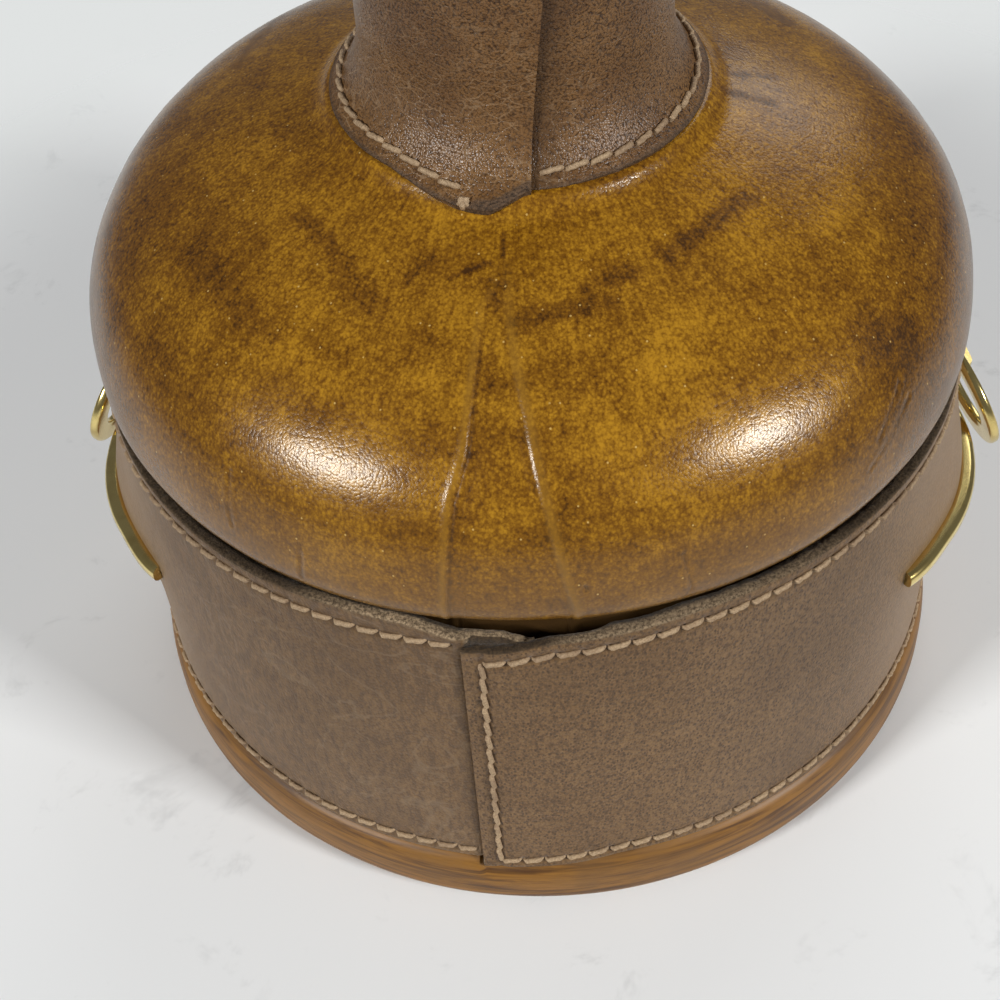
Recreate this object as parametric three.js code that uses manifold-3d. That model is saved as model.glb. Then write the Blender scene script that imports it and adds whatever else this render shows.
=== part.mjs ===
// Leather-wrapped decanter: a glass bottle in a moulded leather jacket, with a stitched band
// and brass fittings.
// Millimetres, +Z up. The origin is the middle of the underside, and the back seam of the band faces -Y.
import * as THREE from 'three';
import { mergeVertices } from 'three/addons/utils/BufferGeometryUtils.js';
import Module from 'manifold-3d';

const wasm = await Module();
wasm.setup();

// Clearances
const seatGap = 0.3;              // between pieces that lie on each other
const padGap = 0.2;               // between the base pad and the leather cup
const turnGap = 0.7;              // around the ring's limb inside its staple, where the limb leans
const cutOverrun = 1;             // how far a cutting shape runs past what it cuts

// Band and jacket
const bodyRadius = 70;            // outer face of the brown band, and of the shoulder flush above it
const bandThickness = 2.4;
const bandBottom = 12.7;
const bandHeight = 57.6;
const jacketThickness = 2;        // tan leather
const coverTuck = 8.3;            // how far the shoulder cover runs down behind the band
const rimStandOut = 1.4;          // how far the rounded rim under the band stands out from it
const rimCorner = 3.2;
const rimStraight = 2;            // upright stretch of the rim above its corner
const rimRollHeight = 1.5;        // the rim's roll toward the band
const rimRollWidth = 1;
const padInset = 8.4;             // from the rim's outside to the edge of the base pad
const padThickness = 0.6;

// Shoulder
const bulgeHeight = 7.9;          // from the waist above the band to the widest point
const bulgeFootReach = 1.9;       // how far the bulge holds its flat start, outward and upward
const bulgeFootRise = 1;
const bulgeSideReach = 4;         // how far it holds its upright end
const domeHeight = 36.15;         // from the widest point to the collar at the neck
const domeSideReach = 23.8;       // how far the dome's curve holds its upright start
const domeEdgeReach = 19.1;       // how far it holds the slope of its upper edge
const domeEdgeSlope = 0.41;       // rise per millimetre toward the neck, where the dome runs in

// Glass
const glassWall = 3.5;
const glassFloor = 5;
const glassCorner = 4;
const neckWall = 5.2;
const neckRootRise = 6.35;        // from the collar to where the neck is straight
const boreRootReach = 4;          // how far the hollow holds its direction where it turns into the bore
const lipHeight = 6;
const lipRound = 2;
const lipUndercut = 1;
const boreBevel = 1;

// Neck sleeve
const sleeveRadius = 22.6;
const sleeveThickness = 1.6;
const sleeveLength = 56;
const collarWidth = 4.2;          // from the sleeve's side out to the dome's collar
const coverEdgeWidth = 1.6;       // from the sleeve's side out to the shoulder cover's upper edge
const flareWidth = 5.3;           // from the sleeve's side out to its flared lower edge
const flareLift = 1.35;           // of that edge above the collar
const flareHeight = 12;           // the flare fades out over this height
const flareFootReach = 3.2;       // how far the flare holds its flat start, inward and upward
const flareFootRise = 2;
const flareSideReach = 7;         // how far it holds its upright end

// Band ends, overlapped at the back
const flapEdgeAngle = -95.6;      // degrees about Z from +X; the upper end stops here
const overlapAngle = 15;          // degrees of overlap
const flapLift = 0.4;             // the upper end stands this much proud
const flapFade = 2;               // degrees over which that lift fades out
const tongueGap = 1;              // degrees of play at the end of each pared tongue

// Threads
const threadRadius = 0.45;
const topRowInset = 2.5;          // from the band's upper edge to its stitch row
const bottomRowInset = 2.3;
const seamRowInset = 2.3;         // degrees from the upper end's edge to its stitch row
const sleeveRowInset = 3;         // from the sleeve's upper edge to its stitch row
const footRowPlace = 0.9;         // of the foot's stitch row, along the first step of the sleeve's line

// Brass crescents, one on each side
const crescentRise = 32.8;        // from the band's lower edge to the bar's middle
const crescentBar = 3;            // width and height of the bar
const crescentBevel = 0.8;
const crescentStand = 4;          // from the band's face out to the bar's middle line
const crescentMiddle = -13;       // degrees about Z from the side toward the back
const crescentSpread = 17.5;      // degrees from the crescent's middle to each tip on the band
const crescentOverrun = 2;        // degrees of extra arc, trimmed where the tip meets the band
const prongAngle = 16.4;          // degrees from the crescent's middle to each prong
const prongRadius = 1;

// Brass rings and the staples that hold them
const ringOuter = 11;
const ringInner = 7;
const ringThickness = 1.8;
const ringEdge = 0.7;             // flattening of the ring's edges
const ringStandOut = 5.1;         // from the band's face out to the ring's centre
const ringForward = 7.1;          // from the side toward the front
const ringDrop = 0.6;             // below the crescent's middle
const ringTurn = 19.7;            // degrees the ring stands away from the side
const ringLean = 19.6;            // degrees its foot stands out
const stapleWire = 1.5;
const plateThickness = 0.8;
const plateSink = 0.1;            // how far the backing plate lies below the cup's wall
const plateMargin = 4;            // plate above and below the crescent's middle
const plateEndMargin = 3;         // degrees of plate beyond its last fastening

// Stopper
const corkLength = 26;
const corkTaper = 1.5;
const corkBevel = 1;
const corkStraight = 1.5;         // upright stretch at the top of the cork
const dowelRadius = 5;
const dowelLength = 14;
const headRadius = 22;
const headStem = 9;               // straight side of the head below its dome
const headDome = 13;
const headSideFullness = 0.56;    // share of the dome's rise that its curve holds upright
const headTopFullness = 0.6;      // share of the head's radius that it holds flat at the top
const coverSkirtGap = 1.5;        // bare wood below the head's leather
const trimHeight = 5;
const trimThickness = 1.6;

// Facets around round pieces, and steps along curves
const bodyFacets = 44;
const neckFacets = 32;
const ringFacets = 32;
const pegFacets = 12;
const trimFacets = 120;
const threadSides = 5;
const seamThreadSides = 6;
const bandSteps = 40;
const plateSteps = 16;
const crescentSteps = 12;
const stapleSteps = 4;
const domeSteps = 9;
const flareSteps = 7;
const headSteps = 6;
const curveSteps = 4;
const cornerSteps = 3;
const mergeDistance = 1e-5;

// Radii that follow from those sizes
const bandInside = bodyRadius - bandThickness;
const waistRadius = bandInside - seatGap;
const jacketInside = waistRadius - jacketThickness;
const glassRadius = jacketInside - seatGap;
const rimRadius = bodyRadius + rimStandOut;
const padRadius = rimRadius - padInset;
const neckRadius = sleeveRadius - sleeveThickness - seatGap;
const boreRadius = neckRadius - neckWall;
const collarRadius = sleeveRadius + collarWidth;
const coverEdgeRadius = sleeveRadius + coverEdgeWidth;
const flareRadius = sleeveRadius + flareWidth;
const rowRadius = bodyRadius + flapLift + seatGap + threadRadius;
const crescentReach = bodyRadius + crescentStand;
const plateOuter = waistRadius - plateSink;
const plateInner = plateOuter - plateThickness;
const prongEnd = plateOuter + seatGap;

// Heights that follow from those sizes
const cupBottom = padThickness + padGap;
const glassBottom = cupBottom + jacketThickness + seatGap;
const bandTop = bandBottom + bandHeight;
const coverJoint = bandTop - coverTuck;
const waistHeight = bandTop + seatGap;
const shoulderHeight = waistHeight + bulgeHeight;
const collarHeight = shoulderHeight + domeHeight;
const neckRootHeight = collarHeight + neckRootRise;
const sleeveBottom = collarHeight + flareLift;
const flareTop = sleeveBottom + flareHeight;
const sleeveTop = sleeveBottom + sleeveLength;
const lipBottom = sleeveTop + seatGap;
const glassTop = lipBottom + lipHeight;
const headBottom = glassTop + seatGap;
const topRowHeight = bandTop - topRowInset;
const bottomRowHeight = bandBottom + bottomRowInset;
const crescentHeight = bandBottom + crescentRise;

// Points and angles

const point = (radius, height) => new THREE.Vector2(radius, height);
const radians = THREE.MathUtils.degToRad;
const degreesOf = THREE.MathUtils.radToDeg;

function onCircle(radius, degrees) {
  return point(radius * Math.cos(radians(degrees)), radius * Math.sin(radians(degrees)));
}

function bezier(a, b, c, d, steps) {
  return new THREE.CubicBezierCurve(a, b, c, d).getPoints(steps);
}

function turnInto(from, corner, to) {
  return new THREE.QuadraticBezierCurve(from, corner, to).getPoints(curveSteps);
}

function arcPoints(centre, radius, fromDegrees, toDegrees, steps = cornerSteps) {
  const arc = [];
  for (let i = 0; i <= steps; i += 1) {
    const degrees = fromDegrees + (toDegrees - fromDegrees) * i / steps;
    arc.push(onCircle(radius, degrees).add(centre));
  }
  return arc;
}

// Points moved square to their line, to the left of its direction when the distance is positive
function shifted(points, distance) {
  return points.map((here, i) => {
    const before = points[Math.max(i - 1, 0)];
    const after = points[Math.min(i + 1, points.length - 1)];
    const along = after.clone().sub(before).normalize();
    return point(here.x - along.y * distance, here.y + along.x * distance);
  });
}

// Solids and geometry

function solidOf(geometry) {
  const bare = geometry.clone();
  bare.deleteAttribute('normal');
  bare.deleteAttribute('uv');
  const merged = mergeVertices(bare, mergeDistance);
  return new wasm.Manifold(new wasm.Mesh({
    numProp: 3,
    vertProperties: new Float32Array(merged.attributes.position.array),
    triVerts: new Uint32Array(merged.index.array),
  }));
}

function geometryOf(solid) {
  const mesh = solid.getMesh();
  const geometry = new THREE.BufferGeometry();
  geometry.setAttribute('position', new THREE.BufferAttribute(new Float32Array(mesh.vertProperties), 3));
  geometry.setIndex(new THREE.BufferAttribute(new Uint32Array(mesh.triVerts), 1));
  geometry.computeVertexNormals();
  return geometry;
}

function cut(geometry, tools) {
  return geometryOf(tools.reduce((solid, tool) => solid.subtract(solidOf(tool)), solidOf(geometry)));
}

function join(geometry, others) {
  return geometryOf(others.reduce((solid, other) => solid.add(solidOf(other)), solidOf(geometry)));
}

// Side is 1 for the right and -1 for the left
function mirrored(geometry, side) {
  if (side > 0) return geometry;
  return geometryOf(solidOf(geometry).mirror([1, 0, 0]));
}

// A turned piece about Z, from a profile of radius and height that runs up its outside
function turned(profile, facets) {
  return new THREE.LatheGeometry(profile, facets).rotateX(Math.PI / 2);
}

function closedTurned(profile, facets) {
  return turned([...profile, profile[0].clone()], facets);
}

// A skin of even thickness under an outer line that runs upward
function skin(outer, thickness, facets) {
  return closedTurned([...outer, ...shifted(outer, thickness).reverse()], facets);
}

// A curved plate about Z between two radii and two angles
function sector(inner, outer, fromDegrees, toDegrees, bottom, height) {
  const shape = new THREE.Shape();
  shape.absarc(0, 0, outer, radians(fromDegrees), radians(toDegrees), false);
  shape.absarc(0, 0, inner, radians(toDegrees), radians(fromDegrees), true);
  return new THREE.ExtrudeGeometry(shape, {
    depth: height,
    bevelEnabled: false,
    curveSegments: plateSteps,
  }).translate(0, 0, bottom);
}

// A round peg along the radius at one angle and height
function radialPeg(radius, from, to, degrees, height) {
  const peg = new THREE.CylinderGeometry(radius, radius, to - from, pegFacets);
  peg.rotateZ(-Math.PI / 2);
  peg.translate((from + to) / 2, 0, 0);
  peg.rotateZ(radians(degrees));
  return peg.translate(0, 0, height);
}

// Bottle and jacket

// Outer line of the leather dome, from its widest point to the edge under the neck sleeve
function domeLine() {
  const dome = bezier(
    point(bodyRadius, shoulderHeight),
    point(bodyRadius, shoulderHeight + domeSideReach),
    point(collarRadius + domeEdgeReach, collarHeight - domeEdgeSlope * domeEdgeReach),
    point(collarRadius, collarHeight),
    domeSteps,
  );
  const runIn = point(coverEdgeRadius, collarHeight + domeEdgeSlope * (collarRadius - coverEdgeRadius));
  return [...dome, runIn];
}

// The same line with the bulge above the band and the skirt behind the band
function shoulderLine() {
  const bulge = bezier(
    point(waistRadius, waistHeight),
    point(waistRadius + bulgeFootReach, waistHeight + bulgeFootRise),
    point(bodyRadius, shoulderHeight - bulgeSideReach),
    point(bodyRadius, shoulderHeight),
    curveSteps,
  );
  return [point(waistRadius, coverJoint), ...bulge.slice(0, -1), ...domeLine()];
}

function makeGlassBottle() {
  const skinDepth = jacketThickness + seatGap;
  const dome = shifted(shoulderLine(), skinDepth);
  const hollow = shifted(domeLine(), skinDepth + glassWall).slice(0, -2);
  const hollowFloor = glassBottom + glassFloor;
  const insideRadius = glassRadius - glassWall;
  const heel = point(glassRadius - glassCorner, glassBottom + glassCorner);
  const insideHeel = point(insideRadius - glassCorner, hollowFloor + glassCorner);
  const domeEnd = dome.at(-1);
  const hollowEnd = hollow.at(-1);
  const neckRoot = turnInto(
    domeEnd,
    point(neckRadius, domeEnd.y + domeEdgeSlope * (domeEnd.x - neckRadius)),
    point(neckRadius, neckRootHeight),
  );
  const boreRoot = turnInto(
    hollowEnd,
    point(boreRadius, hollowEnd.y + boreRootReach),
    point(boreRadius, neckRootHeight),
  );
  const lip = [
    point(neckRadius, lipBottom),
    point(sleeveRadius, lipBottom + lipUndercut),
    ...arcPoints(point(sleeveRadius - lipRound, glassTop - lipRound), lipRound, 0, 90),
    point(boreRadius + boreBevel, glassTop),
    point(boreRadius, glassTop - boreBevel),
  ];
  const outside = [
    point(0, glassBottom),
    ...arcPoints(heel, glassCorner, -90, 0),
    ...dome,
    ...neckRoot.slice(1),
  ];
  const inside = [
    ...boreRoot.reverse(),
    ...hollow.reverse().slice(1),
    point(insideRadius, waistHeight),
    ...arcPoints(insideHeel, glassCorner, 0, -90),
    point(0, hollowFloor),
  ];
  return turned([...outside, ...lip, ...inside], bodyFacets);
}

function makeShoulderCover() {
  return skin(shoulderLine(), jacketThickness, bodyFacets);
}

// The leather cup: hidden wall under the band, rounded rim below it, and floor
function makeBodyCover() {
  const rimTop = bandBottom - seatGap;
  const wallTop = coverJoint - seatGap;
  const corner = point(rimRadius - rimCorner, cupBottom + rimCorner);
  const insideCorner = point(jacketInside - glassCorner, cupBottom + jacketThickness + glassCorner);
  const rim = bezier(
    point(rimRadius, cupBottom + rimCorner + rimStraight),
    point(rimRadius, rimTop - rimRollHeight),
    point(rimRadius - rimRollWidth, rimTop),
    point(waistRadius, rimTop + seatGap),
    curveSteps,
  );
  const wall = turned([
    point(0, cupBottom),
    ...arcPoints(corner, rimCorner, -90, 0),
    ...rim,
    point(waistRadius, wallTop),
    point(jacketInside, wallTop),
    ...arcPoints(insideCorner, glassCorner, 0, -90),
    point(0, cupBottom + jacketThickness),
  ], bodyFacets);
  return cut(wall, [plateRecess(1), plateRecess(-1)]);
}

function makeBasePad() {
  return turned([
    point(0, 0),
    point(padRadius, 0),
    point(padRadius, padThickness),
    point(0, padThickness),
  ], bodyFacets);
}

// One strip whose upper end lies over its lower end at the back; both ends are pared to half thickness there
function makeBodyBand() {
  const middle = (bandInside + bodyRadius) / 2;
  const overlapEnd = flapEdgeAngle + overlapAngle;
  const flapFadeEnd = overlapEnd + flapFade;
  const stepAngle = flapEdgeAngle + 360 - tongueGap;
  const tongueStart = stepAngle + tongueGap / 2;
  const tongueEnd = overlapEnd + 360 - tongueGap;
  const flapOutside = bodyRadius + flapLift;
  const flapInside = middle + seatGap;
  const flapCorner = onCircle(flapInside, flapEdgeAngle);
  const strip = new THREE.Shape();
  strip.moveTo(flapCorner.x, flapCorner.y);
  strip.absarc(0, 0, flapOutside, radians(flapEdgeAngle), radians(overlapEnd), false);
  strip.absarc(0, 0, bodyRadius, radians(flapFadeEnd), radians(stepAngle), false);
  strip.absarc(0, 0, middle, radians(tongueStart), radians(tongueEnd), false);
  strip.absarc(0, 0, bandInside, radians(tongueEnd), radians(flapFadeEnd), true);
  strip.absarc(0, 0, flapInside, radians(overlapEnd), radians(flapEdgeAngle), true);
  const band = new THREE.ExtrudeGeometry(strip, {
    depth: bandHeight,
    bevelEnabled: false,
    curveSegments: bandSteps,
  }).translate(0, 0, bandBottom);
  return cut(band, [...bandHoles(1), ...bandHoles(-1)]);
}

// Neck sleeve

// Outer line of the sleeve, from its flared lower edge to its top
function sleeveLine() {
  const flare = bezier(
    point(flareRadius, sleeveBottom),
    point(flareRadius - flareFootReach, sleeveBottom + flareFootRise),
    point(sleeveRadius, flareTop - flareSideReach),
    point(sleeveRadius, flareTop),
    flareSteps,
  );
  return [...flare, point(sleeveRadius, sleeveTop)];
}

function makeNeckSleeve() {
  return skin(sleeveLine(), sleeveThickness, neckFacets);
}

// Stitch rows, each as one thread

function hoop(radius, height, facets) {
  const lastSide = 360 * (threadSides - 1) / threadSides;
  return closedTurned(arcPoints(point(radius, height), threadRadius, 0, lastSide, threadSides - 1), facets);
}

function makeSeamThread() {
  const bottom = bottomRowHeight + 2 * threadRadius + seatGap;
  const top = topRowHeight - 2 * threadRadius - seatGap;
  const at = onCircle(rowRadius, flapEdgeAngle + seamRowInset);
  const thread = new THREE.CylinderGeometry(threadRadius, threadRadius, top - bottom, seamThreadSides);
  return thread.rotateX(Math.PI / 2).translate(at.x, at.y, (bottom + top) / 2);
}

function makeSleeveFootThread() {
  const [edge, next] = sleeveLine();
  const row = edge.clone().lerp(next, footRowPlace);
  return hoop(row.x + seatGap + threadRadius, row.y + threadRadius, neckFacets);
}

function makeSleeveTopThread() {
  return hoop(sleeveRadius + seatGap + threadRadius, sleeveTop - sleeveRowInset, neckFacets);
}

// Brass fittings

const prongAngles = [crescentMiddle - prongAngle, crescentMiddle + prongAngle];
const ringCentre = new THREE.Vector3(bodyRadius + ringStandOut, ringForward, crescentHeight - ringDrop);
const ringMiddle = (ringOuter + ringInner) / 2;
const ringBack = new THREE.Vector3(Math.sin(radians(ringTurn)), -Math.cos(radians(ringTurn)), 0);
const limbReach = Math.hypot((ringOuter - ringInner) / 2, ringThickness / 2) + turnGap;
const hingePoint = ringCentre.clone().addScaledVector(ringBack, -ringMiddle);
const hingeRadius = Math.hypot(hingePoint.x, hingePoint.y);
const hingeAngle = degreesOf(Math.atan2(hingePoint.y, hingePoint.x));
const stapleLegOffset = limbReach + stapleWire / 2;
const legAngle = degreesOf(stapleLegOffset / bodyRadius);

// An arc through the two tips on the band and the far reach between them
function makeCrescent(side) {
  const halfChord = bodyRadius * Math.sin(radians(crescentSpread));
  const rise = crescentReach - bodyRadius * Math.cos(radians(crescentSpread));
  const arcRadius = (halfChord ** 2 + rise ** 2) / (2 * rise);
  const centre = onCircle(crescentReach - arcRadius, crescentMiddle);
  const middle = radians(crescentMiddle);
  const spread = Math.asin(halfChord / arcRadius) + radians(crescentOverrun);
  const half = crescentBar / 2 - crescentBevel;
  const bar = new THREE.Shape();
  bar.absarc(centre.x, centre.y, arcRadius + half, middle - spread, middle + spread, false);
  bar.absarc(centre.x, centre.y, arcRadius - half, middle + spread, middle - spread, true);
  const arc = new THREE.ExtrudeGeometry(bar, {
    depth: crescentBar - 2 * crescentBevel,
    bevelThickness: crescentBevel,
    bevelSize: crescentBevel,
    bevelSegments: 1,
    curveSegments: crescentSteps,
  }).translate(0, 0, crescentHeight - half);
  const trim = bodyRadius + seatGap;
  const body = new THREE.CylinderGeometry(trim, trim, crescentBar + 2 * cutOverrun, trimFacets);
  body.rotateX(Math.PI / 2).translate(0, 0, crescentHeight);
  const prongs = prongAngles.map((degrees) => (
    radialPeg(prongRadius, prongEnd, bodyRadius + crescentBar / 2, degrees, crescentHeight)));
  return mirrored(join(cut(arc, [body]), prongs), side);
}

function makeRing(side) {
  const half = ringThickness / 2;
  const section = [
    point(ringInner, half - ringEdge),
    point(ringInner, ringEdge - half),
    point(ringInner + ringEdge, -half),
    point(ringOuter - ringEdge, -half),
    point(ringOuter, ringEdge - half),
    point(ringOuter, half - ringEdge),
    point(ringOuter - ringEdge, half),
    point(ringInner + ringEdge, half),
  ];
  const ring = closedTurned(section, ringFacets);
  ring.rotateY(radians(90 - ringLean));
  ring.rotateZ(radians(ringTurn));
  ring.translate(...ringCentre.toArray());
  return mirrored(ring, side);
}

// A square wire staple: two legs through the band and a bridge outside the ring's front limb
function makeRingStaple(side) {
  const bridgeInside = hingeRadius + limbReach;
  const half = stapleLegOffset + stapleWire / 2;
  const outline = new THREE.Shape();
  outline.moveTo(prongEnd, half);
  outline.lineTo(prongEnd, half - stapleWire);
  outline.lineTo(bridgeInside, half - stapleWire);
  outline.lineTo(bridgeInside, stapleWire - half);
  outline.lineTo(prongEnd, stapleWire - half);
  outline.lineTo(prongEnd, -half);
  outline.lineTo(bridgeInside, -half);
  outline.absarc(bridgeInside, stapleWire - half, stapleWire, -Math.PI / 2, 0, false);
  outline.absarc(bridgeInside, half - stapleWire, stapleWire, 0, Math.PI / 2, false);
  const staple = new THREE.ExtrudeGeometry(outline, {
    depth: stapleWire,
    bevelEnabled: false,
    curveSegments: stapleSteps,
  });
  staple.rotateZ(radians(hingeAngle)).translate(0, 0, hingePoint.z - stapleWire / 2);
  return mirrored(staple, side);
}

// The strip behind the band that the prongs and the staple are fastened to
const plateFrom = prongAngles[0] - plateEndMargin;
const plateTo = hingeAngle + legAngle + plateEndMargin;
const plateBottom = crescentHeight - plateMargin;
const plateHeight = 2 * plateMargin;

function makeBackingPlate(side) {
  return mirrored(sector(plateInner, plateOuter, plateFrom, plateTo, plateBottom, plateHeight), side);
}

function plateRecess(side) {
  const endGap = degreesOf(seatGap / plateOuter);
  const recess = sector(
    plateInner - seatGap,
    waistRadius + cutOverrun,
    plateFrom - endGap,
    plateTo + endGap,
    plateBottom - seatGap,
    plateHeight + 2 * seatGap,
  );
  return mirrored(recess, side);
}

// Holes in the band: round for the prongs, square for the staple's legs
function bandHoles(side) {
  const from = bandInside - cutOverrun;
  const to = bodyRadius + cutOverrun;
  const holeSide = stapleWire + 2 * seatGap;
  const prongHoles = prongAngles.map((degrees) => (
    radialPeg(prongRadius + seatGap, from, to, degrees, crescentHeight)));
  const legHoles = [-stapleLegOffset, stapleLegOffset].map((offset) => {
    const hole = new THREE.BoxGeometry(to - from, holeSide, holeSide);
    hole.translate((from + to) / 2, offset, 0);
    hole.rotateZ(radians(hingeAngle));
    return hole.translate(0, 0, hingePoint.z);
  });
  return [...prongHoles, ...legHoles].map((hole) => mirrored(hole, side));
}

// Stopper: a cork on a turned wooden head, with leather over the head

function makeStopperCork() {
  const top = headBottom - seatGap;
  const bottom = top - corkLength;
  const inside = dowelRadius + seatGap;
  const widest = boreRadius - seatGap;
  return closedTurned([
    point(inside, bottom),
    point(widest - corkTaper - corkBevel, bottom),
    point(widest - corkTaper, bottom + corkBevel),
    point(widest, top - corkStraight),
    point(widest, top),
    point(inside, top),
  ], neckFacets);
}

function headLine(radius, rise) {
  const shoulder = headBottom + headStem;
  return bezier(
    point(radius, shoulder),
    point(radius, shoulder + headSideFullness * rise),
    point(headTopFullness * radius, shoulder + rise),
    point(0, shoulder + rise),
    headSteps,
  );
}

function makeStopperCore() {
  return turned([
    point(0, headBottom - dowelLength),
    point(dowelRadius, headBottom - dowelLength),
    point(dowelRadius, headBottom),
    point(headRadius, headBottom),
    ...headLine(headRadius, headDome),
  ], neckFacets);
}

function makeStopperCover() {
  const inside = headRadius + seatGap;
  const outside = inside + jacketThickness;
  const bottom = headBottom + coverSkirtGap;
  const outerDome = headLine(outside, headDome + seatGap + jacketThickness);
  const innerDome = headLine(inside, headDome + seatGap);
  return turned([
    ...innerDome.reverse(),
    point(inside, bottom),
    point(outside, bottom),
    ...outerDome,
  ], neckFacets);
}

function makeStopperTrim() {
  const inside = headRadius + jacketThickness + 2 * seatGap;
  const bottom = headBottom + coverSkirtGap;
  return closedTurned([
    point(inside, bottom),
    point(inside + trimThickness, bottom),
    point(inside + trimThickness, bottom + trimHeight),
    point(inside, bottom + trimHeight),
  ], neckFacets);
}

// Materials

const glass = { color: 0xdde6e2, roughness: 0.05, metalness: 0, transparent: true, opacity: 0.4 };
const tanLeather = { color: 0x8a5a1e, roughness: 0.32, metalness: 0 };
const brownLeather = { color: 0x6f543f, roughness: 0.7, metalness: 0 };
const thread = { color: 0xa5866a, roughness: 0.85, metalness: 0 };
const brass = { color: 0xc9a54a, roughness: 0.18, metalness: 1 };
const felt = { color: 0x3f3128, roughness: 0.95, metalness: 0 };
const cork = { color: 0xb98d5c, roughness: 0.9, metalness: 0 };
const wood = { color: 0x7a4f2a, roughness: 0.55, metalness: 0 };

// Assembly

const decanter = new THREE.Group();

function add(name, geometry, look) {
  const mesh = new THREE.Mesh(geometry, new THREE.MeshStandardMaterial(look));
  mesh.name = name;
  decanter.add(mesh);
}

add('glass_bottle', makeGlassBottle(), glass);
add('shoulder_cover', makeShoulderCover(), tanLeather);
add('body_cover', makeBodyCover(), tanLeather);
add('base_pad', makeBasePad(), felt);
add('body_band', makeBodyBand(), brownLeather);
add('band_top_thread', hoop(rowRadius, topRowHeight, bodyFacets), thread);
add('band_bottom_thread', hoop(rowRadius, bottomRowHeight, bodyFacets), thread);
add('band_seam_thread', makeSeamThread(), thread);
add('neck_sleeve', makeNeckSleeve(), brownLeather);
add('sleeve_bottom_thread', makeSleeveFootThread(), thread);
add('sleeve_top_thread', makeSleeveTopThread(), thread);
for (const [name, side] of [['right', 1], ['left', -1]]) {
  add(`${name}_crescent`, makeCrescent(side), brass);
  add(`${name}_ring`, makeRing(side), brass);
  add(`${name}_ring_staple`, makeRingStaple(side), brass);
  add(`${name}_backing_plate`, makeBackingPlate(side), brass);
}
add('stopper_cork', makeStopperCork(), cork);
add('stopper_core', makeStopperCore(), wood);
add('stopper_cover', makeStopperCover(), tanLeather);
add('stopper_trim', makeStopperTrim(), brownLeather);

export default decanter;
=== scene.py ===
# Looks of the leather-wrapped decanter: moulded leather, stitching, brass, glass and the studio.
# Shapes are worked out in millimetres in the frame's own axes and become metres when a mesh is made.
import math

import bmesh
import bpy
from mathutils import Matrix, Vector, noise


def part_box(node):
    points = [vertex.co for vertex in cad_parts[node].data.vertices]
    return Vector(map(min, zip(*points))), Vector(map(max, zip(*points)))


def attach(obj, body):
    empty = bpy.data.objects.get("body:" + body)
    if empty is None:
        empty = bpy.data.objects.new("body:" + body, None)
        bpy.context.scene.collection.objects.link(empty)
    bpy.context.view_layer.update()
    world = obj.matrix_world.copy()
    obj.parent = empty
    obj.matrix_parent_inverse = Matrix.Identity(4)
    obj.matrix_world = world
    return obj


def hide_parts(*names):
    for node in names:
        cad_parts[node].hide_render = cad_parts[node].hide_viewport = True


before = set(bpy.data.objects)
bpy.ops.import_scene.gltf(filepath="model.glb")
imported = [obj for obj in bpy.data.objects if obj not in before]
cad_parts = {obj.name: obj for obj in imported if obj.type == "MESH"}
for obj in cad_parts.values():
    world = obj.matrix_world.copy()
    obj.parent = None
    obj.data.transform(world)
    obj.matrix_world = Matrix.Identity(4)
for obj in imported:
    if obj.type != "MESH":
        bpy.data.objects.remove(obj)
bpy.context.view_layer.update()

MM = 0.001

# Sizes taken from the frame


def box_mm(node):
    low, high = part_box(node)
    return low / MM, high / MM


band_low, band_high = box_mm("body_band")
shoulder_low, shoulder_high = box_mm("shoulder_cover")
cup_low, cup_high = box_mm("body_cover")
_, sleeve_high = box_mm("neck_sleeve")
bottle_low, bottle_high = box_mm("glass_bottle")
pad_low, pad_high = box_mm("base_pad")
cork_low, cork_high = box_mm("stopper_cork")
core_low, core_high = box_mm("stopper_core")
cap_low, cap_high = box_mm("stopper_cover")
trim_low, trim_high = box_mm("stopper_trim")
plate_low, plate_high = box_mm("right_backing_plate")
crescent_low, crescent_high = box_mm("right_crescent")

# Jacket and band, in millimetres
BODY_RADIUS = shoulder_high.x
SEAT_GAP = 0.3
JACKET_THICKNESS = 2.0
BAND_THICKNESS = 2.4
WAIST_RADIUS = BODY_RADIUS - BAND_THICKNESS - SEAT_GAP
WAIST_HEIGHT = band_high.z + SEAT_GAP + 2.4
BULGE_HEIGHT = 5.5
BULGE_FOOT = (1.9, 0.7)
BULGE_SIDE_REACH = 3.0
BULGE_SIDE_LIFT = 0.8             # the bulge's lower edge is higher at the sides than at the back
BULGE_LIFT_ENDS = (25.0, 60.0)    # degrees from the back between which it rises
GAP_DEPTH = 1.6                   # groove under the bulge, behind the band's edge
GAP_ENDS = (1.0, -0.2)            # heights over the waist between which it deepens
DOME_HEIGHT = 36.15
DOME_SIDE_REACH = 23.8
DOME_EDGE_REACH = 19.1
DOME_EDGE_SLOPE = 0.41
SHOULDER_HEIGHT = WAIST_HEIGHT + BULGE_HEIGHT
COLLAR_RADIUS = 26.8
COLLAR_HEIGHT = SHOULDER_HEIGHT + DOME_HEIGHT
COVER_EDGE_RADIUS = 24.2
COLLAR_TURN_RADIUS = 31.4         # the dome starts to turn up toward the neck here
COLLAR_TURN = 1.2
SHOULDER_WAVES = ((0.22, 21.0), (0.05, 6.0))    # depth and size
SKIN_STEP = 0.42                  # between mesh points on the shoulder
INSIDE_STEP = 3.5                 # and on its hidden inside

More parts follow.
